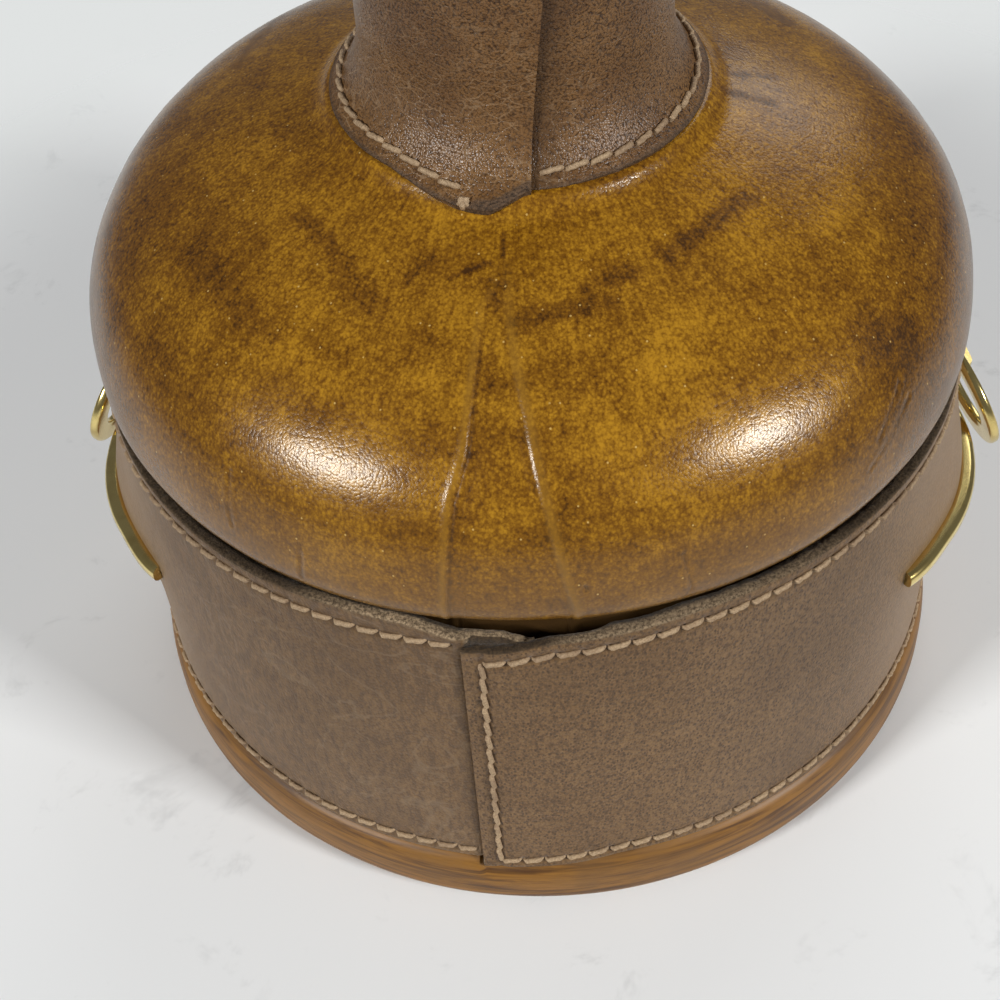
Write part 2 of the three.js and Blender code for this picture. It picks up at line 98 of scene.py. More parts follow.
# The wedge pressed into the back of the shoulder: height and angle of its two edges
FOLD_LEFT = ((112.9, -90.9), (109.7, -91.6), (108.4, -93.9), (98.9, -94.5), (94.2, -95.9), (78.5, -96.7))
FOLD_RIGHT = ((112.9, -90.9), (108.1, -90.0), (101.9, -87.2), (92.8, -85.1), (77.3, -82.6))
FOLD_START = (113.0, 104.0)       # heights between which the wedge comes in
FOLD_SINK = 0.2
FOLD_SLOPE = 1.6                  # width over which it sinks in
FOLD_RIDGE = 0.13
FOLD_RIDGE_LEFT = (0.6, 0.6)      # how far outside the wedge a ridge lies, and its half width
FOLD_RIDGE_RIGHT = (0.7, 0.7)
FOLD_CREASE = 0.16
FOLD_CREASE_PLACE = (0.25, 0.32)  # how far inside the wedge a crease lies, and its half width
FOLD_REACH = 5.0                  # nothing of the wedge shows further outside than this
# how far outside the wedge its painted shade reaches
FOLD_SHADE_REACH = 2.0
FOLD_ANGLES = range(-98, -80, 2)  # where the mesh is finer

# Cuts and wrinkles in the shoulder: angle and height of both ends, and depth
CUTS = (
    ((-124.5, 90.3), (-123.9, 81.5), 0.25),
    ((-114.1, 81.9), (-114.5, 77.0), 0.3),
    ((-81.2, 82.0), (-79.8, 72.4), 0.4),
    ((-69.9, 84.4), (-69.0, 77.0), 0.25),
    ((-44.3, 83.3), (-35.3, 88.8), 0.22),
    ((-42.3, 86.9), (-36.2, 91.5), 0.18),
    ((-101.0, 109.9), (-93.8, 110.8), 0.16),
    ((-93.4, 109.9), (-90.6, 109.7), 0.2),
)
CUT_WIDTH = 0.3
CUT_REACH = 3.0
CUT_GROOVE = 0.5                  # share of a cut's depth that is shaped
CUT_LIP = 0.2                     # share of it that stands up beside the cut
CUT_LIP_PLACE = (0.8, 0.5)        # distance from the cut, and half width

# Dark smudges rubbed into the shoulder: angle and height of both ends, half width and strength
SMUDGES = (
    ((-139.7, 110.0), (-123.0, 109.3), 1.6, 0.7),
    ((-122.0, 108.8), (-112.9, 107.5), 2.6, 0.6),
    ((-56.8, 109.6), (-33.8, 110.0), 1.7, 0.85),
    ((-73.9, 109.2), (-66.1, 109.5), 1.9, 0.85),
    ((-87.3, 107.8), (-71.8, 108.3), 1.7, 0.8),
    ((-3.4, 113.6), (-1.6, 110.9), 1.0, 0.8),
    ((6.0, 113.0), (9.0, 110.4), 0.8, 0.6),
    ((-109.2, 109.5), (-105.8, 110.8), 0.9, 0.6),
    ((-101.0, 109.9), (-93.8, 110.8), 0.5, 0.9),
    ((-93.4, 109.9), (-90.6, 109.7), 0.6, 1.0),
    ((-92.6, 109.2), (-91.8, 108.8), 1.3, 0.9),
    ((-91.2, 112.4), (-90.9, 111.1), 0.4, 0.8),
    ((-36.0, 98.0), (-32.5, 95.0), 4.0, 0.55),
    ((-150.0, 104.0), (-128.0, 103.5), 2.4, 0.45),
    ((35.0, 106.0), (60.0, 104.0), 2.6, 0.5),
    ((95.0, 108.0), (112.0, 106.5), 2.0, 0.6),
    ((140.0, 103.0), (160.0, 106.0), 2.4, 0.5),
)

# Band ends at the back: angles in degrees about Z from +X
FLAP_EDGE = -95.6
FLAP_LENGTH = 15.0
FLAP_PROUD = 0.6
FLAP_PROUD_ENDS = (21.0, 11.0)    # degrees from the upper end between which it comes out
FLAP_THICKNESS = 1.6
FLAP_THICKENING = 3.0             # degrees over which it reaches the band's thickness
FLAP_EDGE_THICKNESS = 0.6
FLAP_PARING = 1.5                 # degrees over which the flap thins to its edge
FLAP_SAG = 0.9                    # the upper end's top hangs down a little over a long stretch
FLAP_SAG_ENDS = (28.0, 20.0)
FLAP_DROP = 2.2                   # and more at its corner
FLAP_DROP_ENDS = (11.5, 3.0)
FLAP_SAG_BOTTOM = 1.9
FLAP_SAG_LENGTH = 21.0
TONGUE_LENGTH = 8.3
TONGUE_DIP = 1.1
TONGUE_THICKNESS = 1.2
TONGUE_PARING = (359.0, 360.0 + FLAP_PARING)    # degrees between which the lower end thins and dips
TONGUE_SAG = 2.2
TONGUE_SAG_ENDS = (352.0, 361.0)
TONGUE_END_SAG = 1.6
TONGUE_END = 364.0                # the tongue's end sags from here on
TONGUE_CURL = 0.35                # its edge curls outward
TONGUE_CURL_PLACE = (363.0, 5.0)
TONGUE_CURL_HEIGHT = 6.0
LOWER_END_RISE = 1.0
LOWER_END_RISE_ENDS = (331.0, 345.0)
BAND_EDGE_ROUND = 0.45
BAND_EDGE_FLAT = 0.4              # share of the thickness that is cut level
BAND_EDGE_SLOPE = 0.5             # the cut edge falls away inward
BAND_EDGE_ROWS = (0.3, 0.65, 1.0)  # shares of the flat cut where mesh rows lie
BAND_RISE = 2.0                   # the soft edge stands this much above the solid's
BAND_RISE_ENDS = (100.0, 60.0)    # degrees from the back between which it rises
BAND_WAVES = ((0.16, 26.0), (0.04, 5.0))        # depth and size
BAND_ROWS = 120
BAND_WORN = (200.0, 330.0)        # degrees from the upper end between which the face turns worn
EDGE_LIP = 0.12                   # the face swells a little along its edges
EDGE_LIP_PLACE = (0.9, 0.8)
RAGGED = ((0.16, 1.3), (0.22, 6.0))             # depth and size of the cut edge's unevenness
FIBRE_SIZE = 0.7
LEVEL_FIBRES = 0.15               # their depth on the level part of the cut
SLOPE_FIBRES = 0.2                # and where it falls away
UPPER_END_FRAY = ((9.0, 14.0), (60.0, 25.0))    # degrees between which the cut edge turns pale and back
LOWER_END_FRAY = (336.0, 350.0)
SIDE_FRAY = (9.0, 40.0)
SWELL = 3.0                       # the band stands off round the brass fittings
SWELL_MIDDLE = (-13.0, 47.0)
SWELL_SPREAD = (15.0, 10.0)
BAND_BACK_HEIGHTS = (58.0, 47.0, 36.0)          # where the band's back follows its swell
SIDE_TUCK = 0.7                   # the band's edge leans in at the sides
SIDE_TUCK_SPREAD = 30.0
SIDE_TUCK_HEIGHTS = (58.0, 70.0)

# Stitching
STITCH_PITCH = 3.6
THREAD_RADIUS = 0.43
STITCH_SLANT = 0.22
TOP_ROW_INSET = 2.8
BOTTOM_ROW_INSET = 2.3
SEAM_ROW_INSET = 2.3
TOP_ROW_END = 359.0
BOTTOM_ROW_END = 359.4
SLEEVE_FOOT_ROW = 2.6
SLEEVE_TOP_ROW = 3.0
FOOT_ROW_START = 2.5
FOOT_ROW_END = 340.0
STITCH_GROOVE = 0.2
STITCH_GROOVE_WIDTH = 0.75
STITCH_HOLE = 0.3
STITCH_HOLE_SIZE = (0.45, 0.4)    # along the row and across it
STITCH_SINK = 0.75                # a stitch's ends lie this many thread radii deep
STITCH_BOW = 1.3                  # and its middle comes out from there by this many
STITCH_STEEPNESS = 2.2            # the larger, the sooner it is fully out
STITCH_TWIST = 2.6                # half turns of the thread along a stitch
ROW_LIFT = 0.05                   # stitches are set this far outside the leather

# Rim of the leather cup
RIM_RADIUS = cup_high.x
RIM_CORNER = 3.2
RIM_STRAIGHT = 2.0
RIM_ROLL = (1.0, 1.5)
RIM_WAVE = (0.12, 18.0)           # depth and size
CUP_INSIDE_CORNER = 4.0
PLATE_RECESS = 1.3                # the cup's wall gives way to the backing plates
PLATE_ROOM = 0.5
PLATE_END_ROOM = (7.0, 5.0)       # degrees beyond the plate's back and front ends

# Neck sleeve
SLEEVE_RADIUS = 22.6
SLEEVE_THICKNESS = 1.6
SLEEVE_EDGE_THICKNESS = 1.0
FLARE_RADIUS = sleeve_high.x
FLARE_BOTTOM = 116.0
FLARE_HEIGHT = 12.0
FLARE_FOOT = (3.2, 2.0)
FLARE_SIDE_REACH = 7.0
SLEEVE_SEAM = -83.7               # angle of the seam at the flare
SLEEVE_SEAM_LEAN = 0.276          # degrees the seam turns per millimetre of height
SLEEVE_OVERLAP = 9.0
SLEEVE_PARING = 3.0               # degrees over which the upper end thins before the overlap
SLEEVE_END_THICKNESS = 0.3
SLEEVE_STEP_UP = 0.4125           # the seam's upper end stands proud by this
SLEEVE_STEP_DOWN = 0.45           # and its lower end lies deeper by this
SLEEVE_STEP_LENGTH = 40.0
FOOT_DROOP = 3.2                  # how much further down the seam's upper end reaches
FOOT_DROOP_LENGTH = 48.0
FOOT_LEAST_DROOP = 0.02           # so that the foot's line always has a first step
FOOT_CORNER = 0.85                # share of the droop that is rounded off at the seam
FOOT_CORNER_START = 348.0
FOOT_PARING = 6.0                 # the sleeve thins toward its foot over this length
SLEEVE_WAVES = ((0.18, 9.0), (0.05, 3.0))       # depth and size
SLEEVE_ROWS = 120
SLEEVE_BACK_STEP = 6              # rows of the face to one row of the back
SLEEVE_RAGGED = (0.14, 1.4)       # depth and size
SLEEVE_WORN_HEIGHTS = (150.0, 118.0)
SLEEVE_WORN_ANGLES = (-20.0, -110.0)
SLEEVE_FRAY = (336.0, 350.0)
SEAM_SHADE = 16.0                 # degrees of shade beside the seam

# Brass
CRESCENT_HEIGHT = (crescent_low.z + crescent_high.z) / 2
CRESCENT_BAR = 3.0
CRESCENT_ROUND = 1.15
CRESCENT_LIFT = 1.1               # the bar's near end stands off the band
CRESCENT_STAND = 4.0
CRESCENT_MIDDLE = -13.0
CRESCENT_SPREAD = 17.5
CRESCENT_OVERRUN = 1.6
CRESCENT_STEPS = 60
CRESCENT_LIFT_STEPS = 15          # from the near end, over which the lift fades out
RING_OUTER = 11.0
RING_INNER = 7.0
RING_THICKNESS = 1.8
RING_EDGE = 0.7
RING_STAND_OUT = 5.1
RING_FORWARD = 7.1
RING_DROP = 0.6
RING_TURN = 19.7
RING_LEAN = 19.6

# Bottle and stopper
GLASS_WALL = 3.5
GLASS_FLOOR = 5.0
GLASS_CORNER = 4.0
BORE_RADIUS = 15.5
LIP_HEIGHT = 6.0
LIP_ROUND = 2.0
NECK_ROOT_HEIGHT = 121.0
BOTTLE_STEP = 1.2                 # between mesh points on the bottle's dome
CORK_TAPER = 1.5
CORK_BEVEL = 1.0
CORK_WAVE = (0.1, 4.0)            # depth and size
DOWEL_RADIUS = 5.0
DOWEL_BEVEL = 0.5
HEAD_RADIUS = core_high.x
HEAD_BOTTOM = bottle_high.z + SEAT_GAP
HEAD_STEM = 9.0
HEAD_SIDE_FULLNESS = 0.56
HEAD_TOP_FULLNESS = 0.6
HEAD_EDGE = 0.6
CAP_EDGE = 0.4
CAP_WAVE = (0.14, 11.0)
TRIM_THICKNESS = 1.6
TRIM_EDGE = 0.4
TRIM_WAVE = (0.12, 3.0)
TRIM_GROOVE = 0.2
TRIM_GROOVE_WIDTH = 0.7

# Leather grain
GRAIN_PER_MM = 2.8

# Studio
FLOOR_SIZE = 300.0
FLOOR_MIDDLE = (0.0, 30.0, 0.0)
FLOOR_FADE = (125.0, 220.0)
BACKGROUND = (0.745, 0.765, 0.76)
BACKGROUND_FADE = (-0.4, -0.1)    # upward part of a direction over which the room takes over
ROOM = (0.14, 0.14, 0.145)
LIGHT_AIM = 0.09                  # metres over the floor: the point that the lights face
LIGHT_DISTANCE = 3.2              # metres from that point

# The photograph's camera
LENS = 63.0
CAMERA_DISTANCE = 217.2
CAMERA_HEIGHT = 263.9
CAMERA_AZIMUTH = 4.4
CAMERA_TILT = 47.96
CAMERA_PAN = -1.32
CAMERA_ROLL = 2.98


# Small maths


def between(low, high, x):
    """A smooth step from 0 at low to 1 at high."""
    share = min(max((x - low) / (high - low), 0.0), 1.0)
    return share * share * (3 - 2 * share)


def bell(x, width):
    return math.exp(-(x / width) ** 2)


def ripple(place, size):
    """Smooth random waves of about that size, from -1 to 1."""
    return noise.noise(Vector(place) / size)


def waves(place, kinds):
    """Waves of several depths and sizes on top of each other."""
    return sum(depth * ripple(place, size) for depth, size in kinds)


def spaced(start, end, steps):
    """Even places from start to end."""
    return [start + (end - start) * i / steps for i in range(steps + 1)]


def along(line, height):
    """The value at a height on a line of height and value pairs that runs downward."""
    if height >= line[0][0]:
        return line[0][1]
    for (high, upper), (low, lower) in zip(line, line[1:]):
        if height >= low:
            return upper + (lower - upper) * (high - height) / (high - low)
    return line[-1][1]


def polar(radius, degrees, height):
    angle = math.radians(degrees)
    return Vector((radius * math.cos(angle), radius * math.sin(angle), height))


def radius_of(point):
    return math.hypot(point[0], point[1])


def angle_of(point):
    return math.degrees(math.atan2(point[1], point[0]))


def turned_by(degrees):
    """The same direction as an angle from -180 to 180."""
    return (degrees + 180) % 360 - 180


def from_side(degrees):
    """Degrees from +X or -X, whichever is nearer, counted toward the front."""
    degrees = turned_by(degrees)
    return degrees if abs(degrees) < 90 else math.copysign(180 - abs(degrees), degrees)


def bezier(start, start_reach, end_reach, end, steps=60):
    line = []
    for i in range(steps + 1):
        t = i / steps
        s = 1 - t
        weights = (s ** 3, 3 * s * s * t, 3 * s * t * t, t ** 3)
        corners = (start, start_reach, end_reach, end)
        line.append(tuple(sum(w * c[k] for w, c in zip(weights, corners)) for k in (0, 1)))
    return line


def arc(centre, radius, start, end, steps=6):
    line = []
    for degrees in spaced(start, end, steps):
        angle = math.radians(degrees)
        line.append((centre[0] + radius * math.cos(angle), centre[1] + radius * math.sin(angle)))
    return line


def even(line, spacing, count=None):
    """The same line with points about that far apart, or with that many steps."""
    lengths = [math.dist(a, b) for a, b in zip(line, line[1:])]
    total = sum(lengths)
    count = count or max(2, round(total / spacing))
    points = []
    i, passed = 0, 0.0
    for k in range(count + 1):
        target = total * k / count
        while i < len(lengths) - 1 and passed + lengths[i] < target:
            passed += lengths[i]
            i += 1
        share = (target - passed) / lengths[i]
        points.append(tuple(a + (b - a) * share for a, b in zip(line[i], line[i + 1])))
    return points


def outward(line):
    """Unit normals of a line of radius and height, on the right of its direction."""
    normals = []
    for i in range(len(line)):
        before = line[max(i - 1, 0)]
        after = line[min(i + 1, len(line) - 1)]
        along_r, along_z = after[0] - before[0], after[1] - before[1]
        length = math.hypot(along_r, along_z)
        normals.append((along_z / length, -along_r / length))
    return normals


def moved_out(line, distance):
    return [(r + nr * distance, z + nz * distance) for (r, z), (nr, nz) in zip(line, outward(line))]


def distance_to_stroke(point, start, end):
    span = end - start
    share = min(max((point - start).dot(span) / span.length_squared, 0.0), 1.0)
    return (point - start - span * share).length


# Mesh makers


def loft(sections, closed):
    """A skin through loops of points that all have the same count."""
    count = len(sections[0])
    vertices = [point for section in sections for point in section]
    faces = []
    spans = len(sections) if closed else len(sections) - 1
    for i in range(spans):
        here = i * count
        there = (i + 1) % len(sections) * count
        for j in range(count):
            k = (j + 1) % count
            faces.append((here + j, here + k, there + k, there + j))
    if not closed:
        last = (len(sections) - 1) * count
        faces.append(tuple(range(count - 1, -1, -1)))
        faces.append(tuple(range(last, last + count)))
    return vertices, faces


def lathe(section_at, angles):
    """A turned skin whose section, a loop of radius and height, may change with the angle."""
    return loft([[polar(r, a, z) for r, z in section_at(a)] for a in angles], closed=True)


def stretches(start, *parts):
    """Places along a strip: each part gives the place it runs to, and its step."""
    places = [start]
    for end, step in parts:
        while places[-1] < end:
            places.append(places[-1] + step)
    return places


def all_round(columns):
    return [-180 + 360 * i / columns for i in range(columns)]


def turned(section, columns):
    """A turned skin with the same section all round."""
    return lathe(lambda degrees: section, all_round(columns))


def fine_near(places, reach, fine, coarse):
    """Angles all round, closer together near some places."""
    angles = [-180.0]
    while angles[-1] + coarse < 180:
        near = any(abs(angles[-1] - place) < reach for place in places)
        angles.append(angles[-1] + (fine if near else coarse))
    return angles


def joined(shapes):
    """Several skins as one set of vertices and faces."""
    vertices, faces = [], []
    for more_vertices, more_faces in shapes:
        first = len(vertices)
        vertices.extend(more_vertices)
        faces.extend(tuple(first + i for i in face) for face in more_faces)
    return vertices, faces


def new_piece(name, shape, material, body="decanter", stands_for=(), crease=38):
    vertices, faces = shape
    mesh = bpy.data.meshes.new(name)
    mesh.from_pydata([Vector(point) * MM for point in vertices], [], faces)
    work = bmesh.new()
    work.from_mesh(mesh)
    bmesh.ops.remove_doubles(work, verts=work.verts, dist=1e-7)
    bmesh.ops.recalc_face_normals(work, faces=work.faces)
    work.to_mesh(mesh)
    work.free()
    mesh.shade_smooth()
    mesh.set_sharp_from_angle(angle=math.radians(crease))
    mesh.materials.append(material)
    piece = bpy.data.objects.new(name, mesh)
    bpy.context.scene.collection.objects.link(piece)
    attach(piece, body)
    if stands_for:
        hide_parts(*stands_for)
    return piece


def paint(piece, name, value_at):
    """A number at each point of a piece, which its material reads by that name."""
    values = [value_at(vertex.co / MM) for vertex in piece.data.vertices]
    attribute = piece.data.attributes.new(name, "FLOAT", "POINT")
    attribute.data.foreach_set("value", values)


# Materials


class Value:
    """A socket of a material, whose arithmetic adds Math nodes."""

    def __init__(self, look, socket):
        self.look = look
        self.socket = socket

    def maths(self, operation, *operands):
        return self.look.node("ShaderNodeMath", {"operation": operation}, dict(enumerate(operands)))

    def __add__(self, other):
        return self.maths("ADD", self, other)

    def __radd__(self, other):
        return self.maths("ADD", other, self)

    def __sub__(self, other):
        return self.maths("SUBTRACT", self, other)

    def __rsub__(self, other):
        return self.maths("SUBTRACT", other, self)

    def __mul__(self, other):
        return self.maths("MULTIPLY", self, other)

    def __rmul__(self, other):
        return self.maths("MULTIPLY", other, self)

    def size(self):
        return self.maths("ABSOLUTE", self)

    def between(self, low, high):
        """A smooth step from 0 at low to 1 at high."""
        limits = {"Value": self, "From Min": low, "From Max": high}
        return self.look.node("ShaderNodeMapRange", {"interpolation_type": "SMOOTHSTEP"}, limits)


class Look:
    """The nodes of a material, or of the world, in the making."""

    def __init__(self, name, owner=None):
        self.owner = owner or bpy.data.materials.new(name)
        self.owner.use_nodes = True
        self.tree = self.owner.node_tree
        self.tree.nodes.clear()

    def node(self, kind, settings=None, inputs=None, output=0):
        made = self.tree.nodes.new(kind)
        for key, value in (settings or {}).items():
            setattr(made, key, value)
        for key, value in (inputs or {}).items():
            if isinstance(value, Value):
                self.tree.links.new(value.socket, made.inputs[key])
            else:
                made.inputs[key].default_value = value
        return Value(self, made.outputs[output]) if made.outputs else None

    def place(self):
        """The point on the object in millimetres."""
        coordinates = self.node("ShaderNodeTexCoord", output="Object")
        values = {0: coordinates, "Scale": 1 / MM}
        return self.node("ShaderNodeVectorMath", {"operation": "SCALE"}, values)

    def stretched(self, place, factors):
        return self.node("ShaderNodeVectorMath", {"operation": "MULTIPLY"}, {0: place, 1: factors})

    def part(self, place, axis):
        return self.node("ShaderNodeSeparateXYZ", None, {0: place}, axis)

    def flank(self, place, start, end):
        """0 at the back and front, 1 at the sides, by the square of the distance across."""
        across = self.part(place, "X")
        return (across * across).between(start, end)

    def painted(self, name):
        return self.node("ShaderNodeAttribute", {"attribute_name": name}, None, "Fac")

    def noise(self, place, scale, detail=3.0, roughness=0.5, distortion=0.0):
        values = {"Vector": place, "Scale": scale, "Detail": detail, "Roughness": roughness}
        values["Distortion"] = distortion
        return self.node("ShaderNodeTexNoise", None, values)

    def cells(self, place, scale, feature="F1", output="Distance"):
        values = {"Vector": place, "Scale": scale}
        return self.node("ShaderNodeTexVoronoi", {"feature": feature}, values, output)

    def grey(self, colour):
        return self.node("ShaderNodeSeparateColor", None, {0: colour})

    def mixed(self, share, first, second):
        """A colour between two colours."""
        values = {0: share}
        for key, colour in ((6, first), (7, second)):
            values[key] = colour if isinstance(colour, Value) else (*colour, 1.0)
        return self.node("ShaderNodeMix", {"data_type": "RGBA"}, values, 2)

    def layered(self, colour, *layers):
        """A colour with others laid over it, each by its own share."""
        for share, tint in layers:
            colour = self.mixed(share, colour, tint)
        return colour

    def bumped(self, height, depth, strength):
        values = {"Height": height, "Distance": depth * MM, "Strength": strength}
        return self.node("ShaderNodeBump", None, values)

    def done(self, **sockets):
        """Ends the material with one shader, from its sockets' names in lower case."""
        inputs = {}
        for name, value in sockets.items():
            socket = name.replace("_", " ").title().replace("Ior", "IOR")
            inputs[socket] = (*value, 1.0) if isinstance(value, tuple) else value
        shader = self.node("ShaderNodeBsdfPrincipled", None, inputs)
        self.node("ShaderNodeOutputMaterial", None, {"Surface": shader})
        return self.owner


def downward_strokes(look, place):
    """A place squeezed round the axis, so that a pattern on it runs in strokes from the neck down."""
    flat = look.stretched(place, (1.0, 1.0, 0.0))
    around = look.node("ShaderNodeVectorMath", {"operation": "NORMALIZE"}, {0: flat})
    values = {0: around, 1: (55.0, 55.0, 0.0), 2: look.stretched(place, (0.03, 0.03, 0.4))}
    return look.node("ShaderNodeVectorMath", {"operation": "MULTIPLY_ADD"}, values)


def make_moulded_leather():
    """Polished tan leather: blotches, smears, rubbed smudges, worn ridges with a painted highlight, a fine
    grain and glints; painted shade at the sides, toward the bottom, along the wedge's creases and in the
    groove under the bulge, and a painted sheen toward the bottom.
    """
    look = Look("moulded_leather")
    place = look.place()
    height = look.part(place, "Z")
    # this painted mask holds rubbed smudges, painted shade along the wedge's creases and inside its left
    # edge, and dark lines along the cuts
    stain_and_shade = look.painted("stain_and_shade")
    clouds = look.noise(place, 0.035, 4.0, 0.6)
    blots = look.noise(place, 0.12, 5.0, 0.65, 0.8)
    smears = look.noise(look.stretched(place, (0.06, 0.06, 0.3)), 1.0, 5.0, 0.65, 0.6)
    creases = look.noise(downward_strokes(look, place), 1.0, 4.0, 0.65)
    specks = look.noise(place, 0.8, 4.0, 0.7)
    fine = look.noise(place, 2.2, 3.0, 0.7)
    tone = look.grey(look.cells(place, 1.9, output="Color"))
    pebbles = look.cells(place, GRAIN_PER_MM)
    bumps = look.cells(look.stretched(place, (1.0, 1.0, 0.7)), 1.8)
    low = 1.0 - height.between(76.0, 98.0)
    # painted shade: the leather just over the waist, in the groove under the bulge, is made nearly black
    gap_shade = 1.0 - height.between(WAIST_HEIGHT + 0.1, WAIST_HEIGHT + 1.3)
    glints = look.grey(look.cells(place, 0.8, output="Color")).between(0.86, 0.88)
    glints = glints * (1.0 - look.cells(place, 0.8).between(0.08, 0.16))
    # painted shade: flank darkens the tan toward the left and right sides, and low darkens it toward the
    # bottom
    dark = look.flank(place, 1500.0, 4600.0) * 0.58 + low * 0.3 + stain_and_shade * (specks * 1.2 + 0.15)
    dark = dark + pebbles.between(0.35, 0.8) * 0.3 + (bumps - 0.56) * 0.75 + (tone - 0.5) * 0.3
    patterns = ((clouds, 1.1), (blots, 1.2), (smears, 1.2), (creases, 1.1), (specks, 0.7), (fine, 1.0))
    for pattern, weight in patterns:
        dark = dark + (pattern - 0.5) * weight
    tan = look.layered(
        (0.430, 0.210, 0.012),
        (dark.between(-0.8, 0.55), (0.160, 0.063, 0.003)),
        (dark.between(0.3, 1.2), (0.050, 0.018, 0.002)),
        # on the shoulder, worn lightens the ridges beside the wedge: wear, with a painted highlight
        (look.painted("worn") * 0.55, (0.300, 0.150, 0.018)),
        # painted sheen: toward the bottom the tan is dulled to a greyish brown
        (low * 0.4, (0.205, 0.105, 0.026)),
        (glints * 0.7, (0.66, 0.44, 0.14)),
        # painted shade in the groove under the bulge
        (gap_shade * 0.95, (0.045, 0.024, 0.009)))
    grain = pebbles * pebbles * -0.9 - bumps * bumps * 0.7 + specks * 0.5 + creases * 0.6 + fine * 0.2
    shine = look.noise(place, 0.09, 3.0) * 0.12 + stain_and_shade * 0.12 + 0.18
    return look.done(
        base_color=tan, roughness=shine, normal=look.bumped(grain, 0.023, 0.9), specular_ior_level=0.42,
        specular_tint=(1.0, 0.94, 0.84))


def make_rim_leather():
    """The same leather where it is drawn round the base, with long dark streaks."""
    look = Look("rim_leather")
    place = look.place()
    streaks = look.noise(look.stretched(place, (0.045, 0.045, 0.85)), 1.0, 5.0, 0.62, 0.7)
    blots = look.noise(place, 0.08, 4.0)
    fine = look.noise(look.stretched(place, (0.25, 0.25, 3.0)), 1.0, 3.0)
    tan = look.layered(
        (0.235, 0.104, 0.013),
        (streaks.between(0.4, 0.66), (0.074, 0.029, 0.005)),
        (blots.between(0.45, 0.75) * 0.5, (0.140, 0.070, 0.022)),
        (fine.between(0.5, 0.75) * 0.2, (0.070, 0.030, 0.008)))
    grain = fine * 0.7 - look.cells(place, GRAIN_PER_MM) * 0.5
    shine = blots * 0.2 + 0.36
    return look.done(
        base_color=tan, roughness=shine, normal=look.bumped(grain, 0.04, 0.7), specular_ior_level=0.4)


def make_band_leather():
    """Matt brown leather: fine dark pores, pale veins where it is worn, a fuzzy raw edge and a painted
    sheen toward the sides.
    """
    look = Look("band_leather")
    place = look.place()
    worn = look.painted("worn")
    raw = look.painted("raw")
    drawn = look.stretched(place, (1.0, 1.0, 0.62))
    clouds = look.noise(place, 0.05, 4.0, 0.6)
    speckle = look.noise(drawn, 1.5, 4.0, 0.7)
    pores = look.cells(drawn, 1.7)
    pebbles = look.cells(drawn, GRAIN_PER_MM)
    tone = look.grey(look.cells(drawn, 2.0, output="Color"))
    veins = look.noise(look.stretched(place, (0.045, 0.045, 0.06)), 1.0, 3.0, 0.5, 1.0)
    vein = 1.0 - (veins - 0.5).size().between(0.002, 0.016)
    wrinkles = look.noise(look.stretched(place, (1.1, 1.1, 0.35)), 1.0, 4.0, 0.65)
    fuzz = look.noise(place, 2.2, 4.0, 0.75)
    edge = look.mixed(fuzz.between(0.35, 0.72), (0.026, 0.015, 0.006), (0.080, 0.049, 0.022))
    pale_edge = look.mixed(fuzz.between(0.35, 0.65), (0.080, 0.052, 0.027), (0.400, 0.290, 0.172))
    brown = look.layered(
        (0.235, 0.132, 0.051),
        (clouds.between(0.35, 0.7), (0.180, 0.098, 0.036)),
        (speckle.between(0.42, 0.72) * (1.0 - worn * 0.65), (0.062, 0.029, 0.009)),
        ((1.0 - pores.between(0.14, 0.42)) * (0.9 - worn * 0.75), (0.040, 0.018, 0.006)),
        (pebbles.between(0.35, 0.8) * 0.45, (0.070, 0.037, 0.014)),
        (tone * 0.35, (0.090, 0.049, 0.019)),
        (worn * (wrinkles.between(0.4, 0.66) * 0.6 + 0.14), (0.076, 0.041, 0.018)),
        (worn * vein * 0.26, (0.260, 0.180, 0.105)),
        # painted sheen: the face turns paler toward the left and right sides
        (look.flank(place, 2300.0, 4700.0) * 0.6, (0.330, 0.215, 0.122)),
        (look.painted("groove") * 0.55, (0.060, 0.034, 0.018)),
        # the dark raw colour also stands as painted shade on the cut edge's inner half and on the tongue's
        # face
        (raw, look.mixed(look.painted("frayed"), edge, pale_edge)))
    grain = pebbles * pebbles * -1.0 + speckle * 0.7 + fuzz * raw * 3.0 + worn * wrinkles * 0.6
    shine = clouds * 0.14 + raw * 0.3 + 0.46
    return look.done(
        base_color=brown, roughness=shine, normal=look.bumped(grain, 0.07, 0.8),
        specular_ior_level=0.35, sheen_weight=0.15, sheen_roughness=0.35)


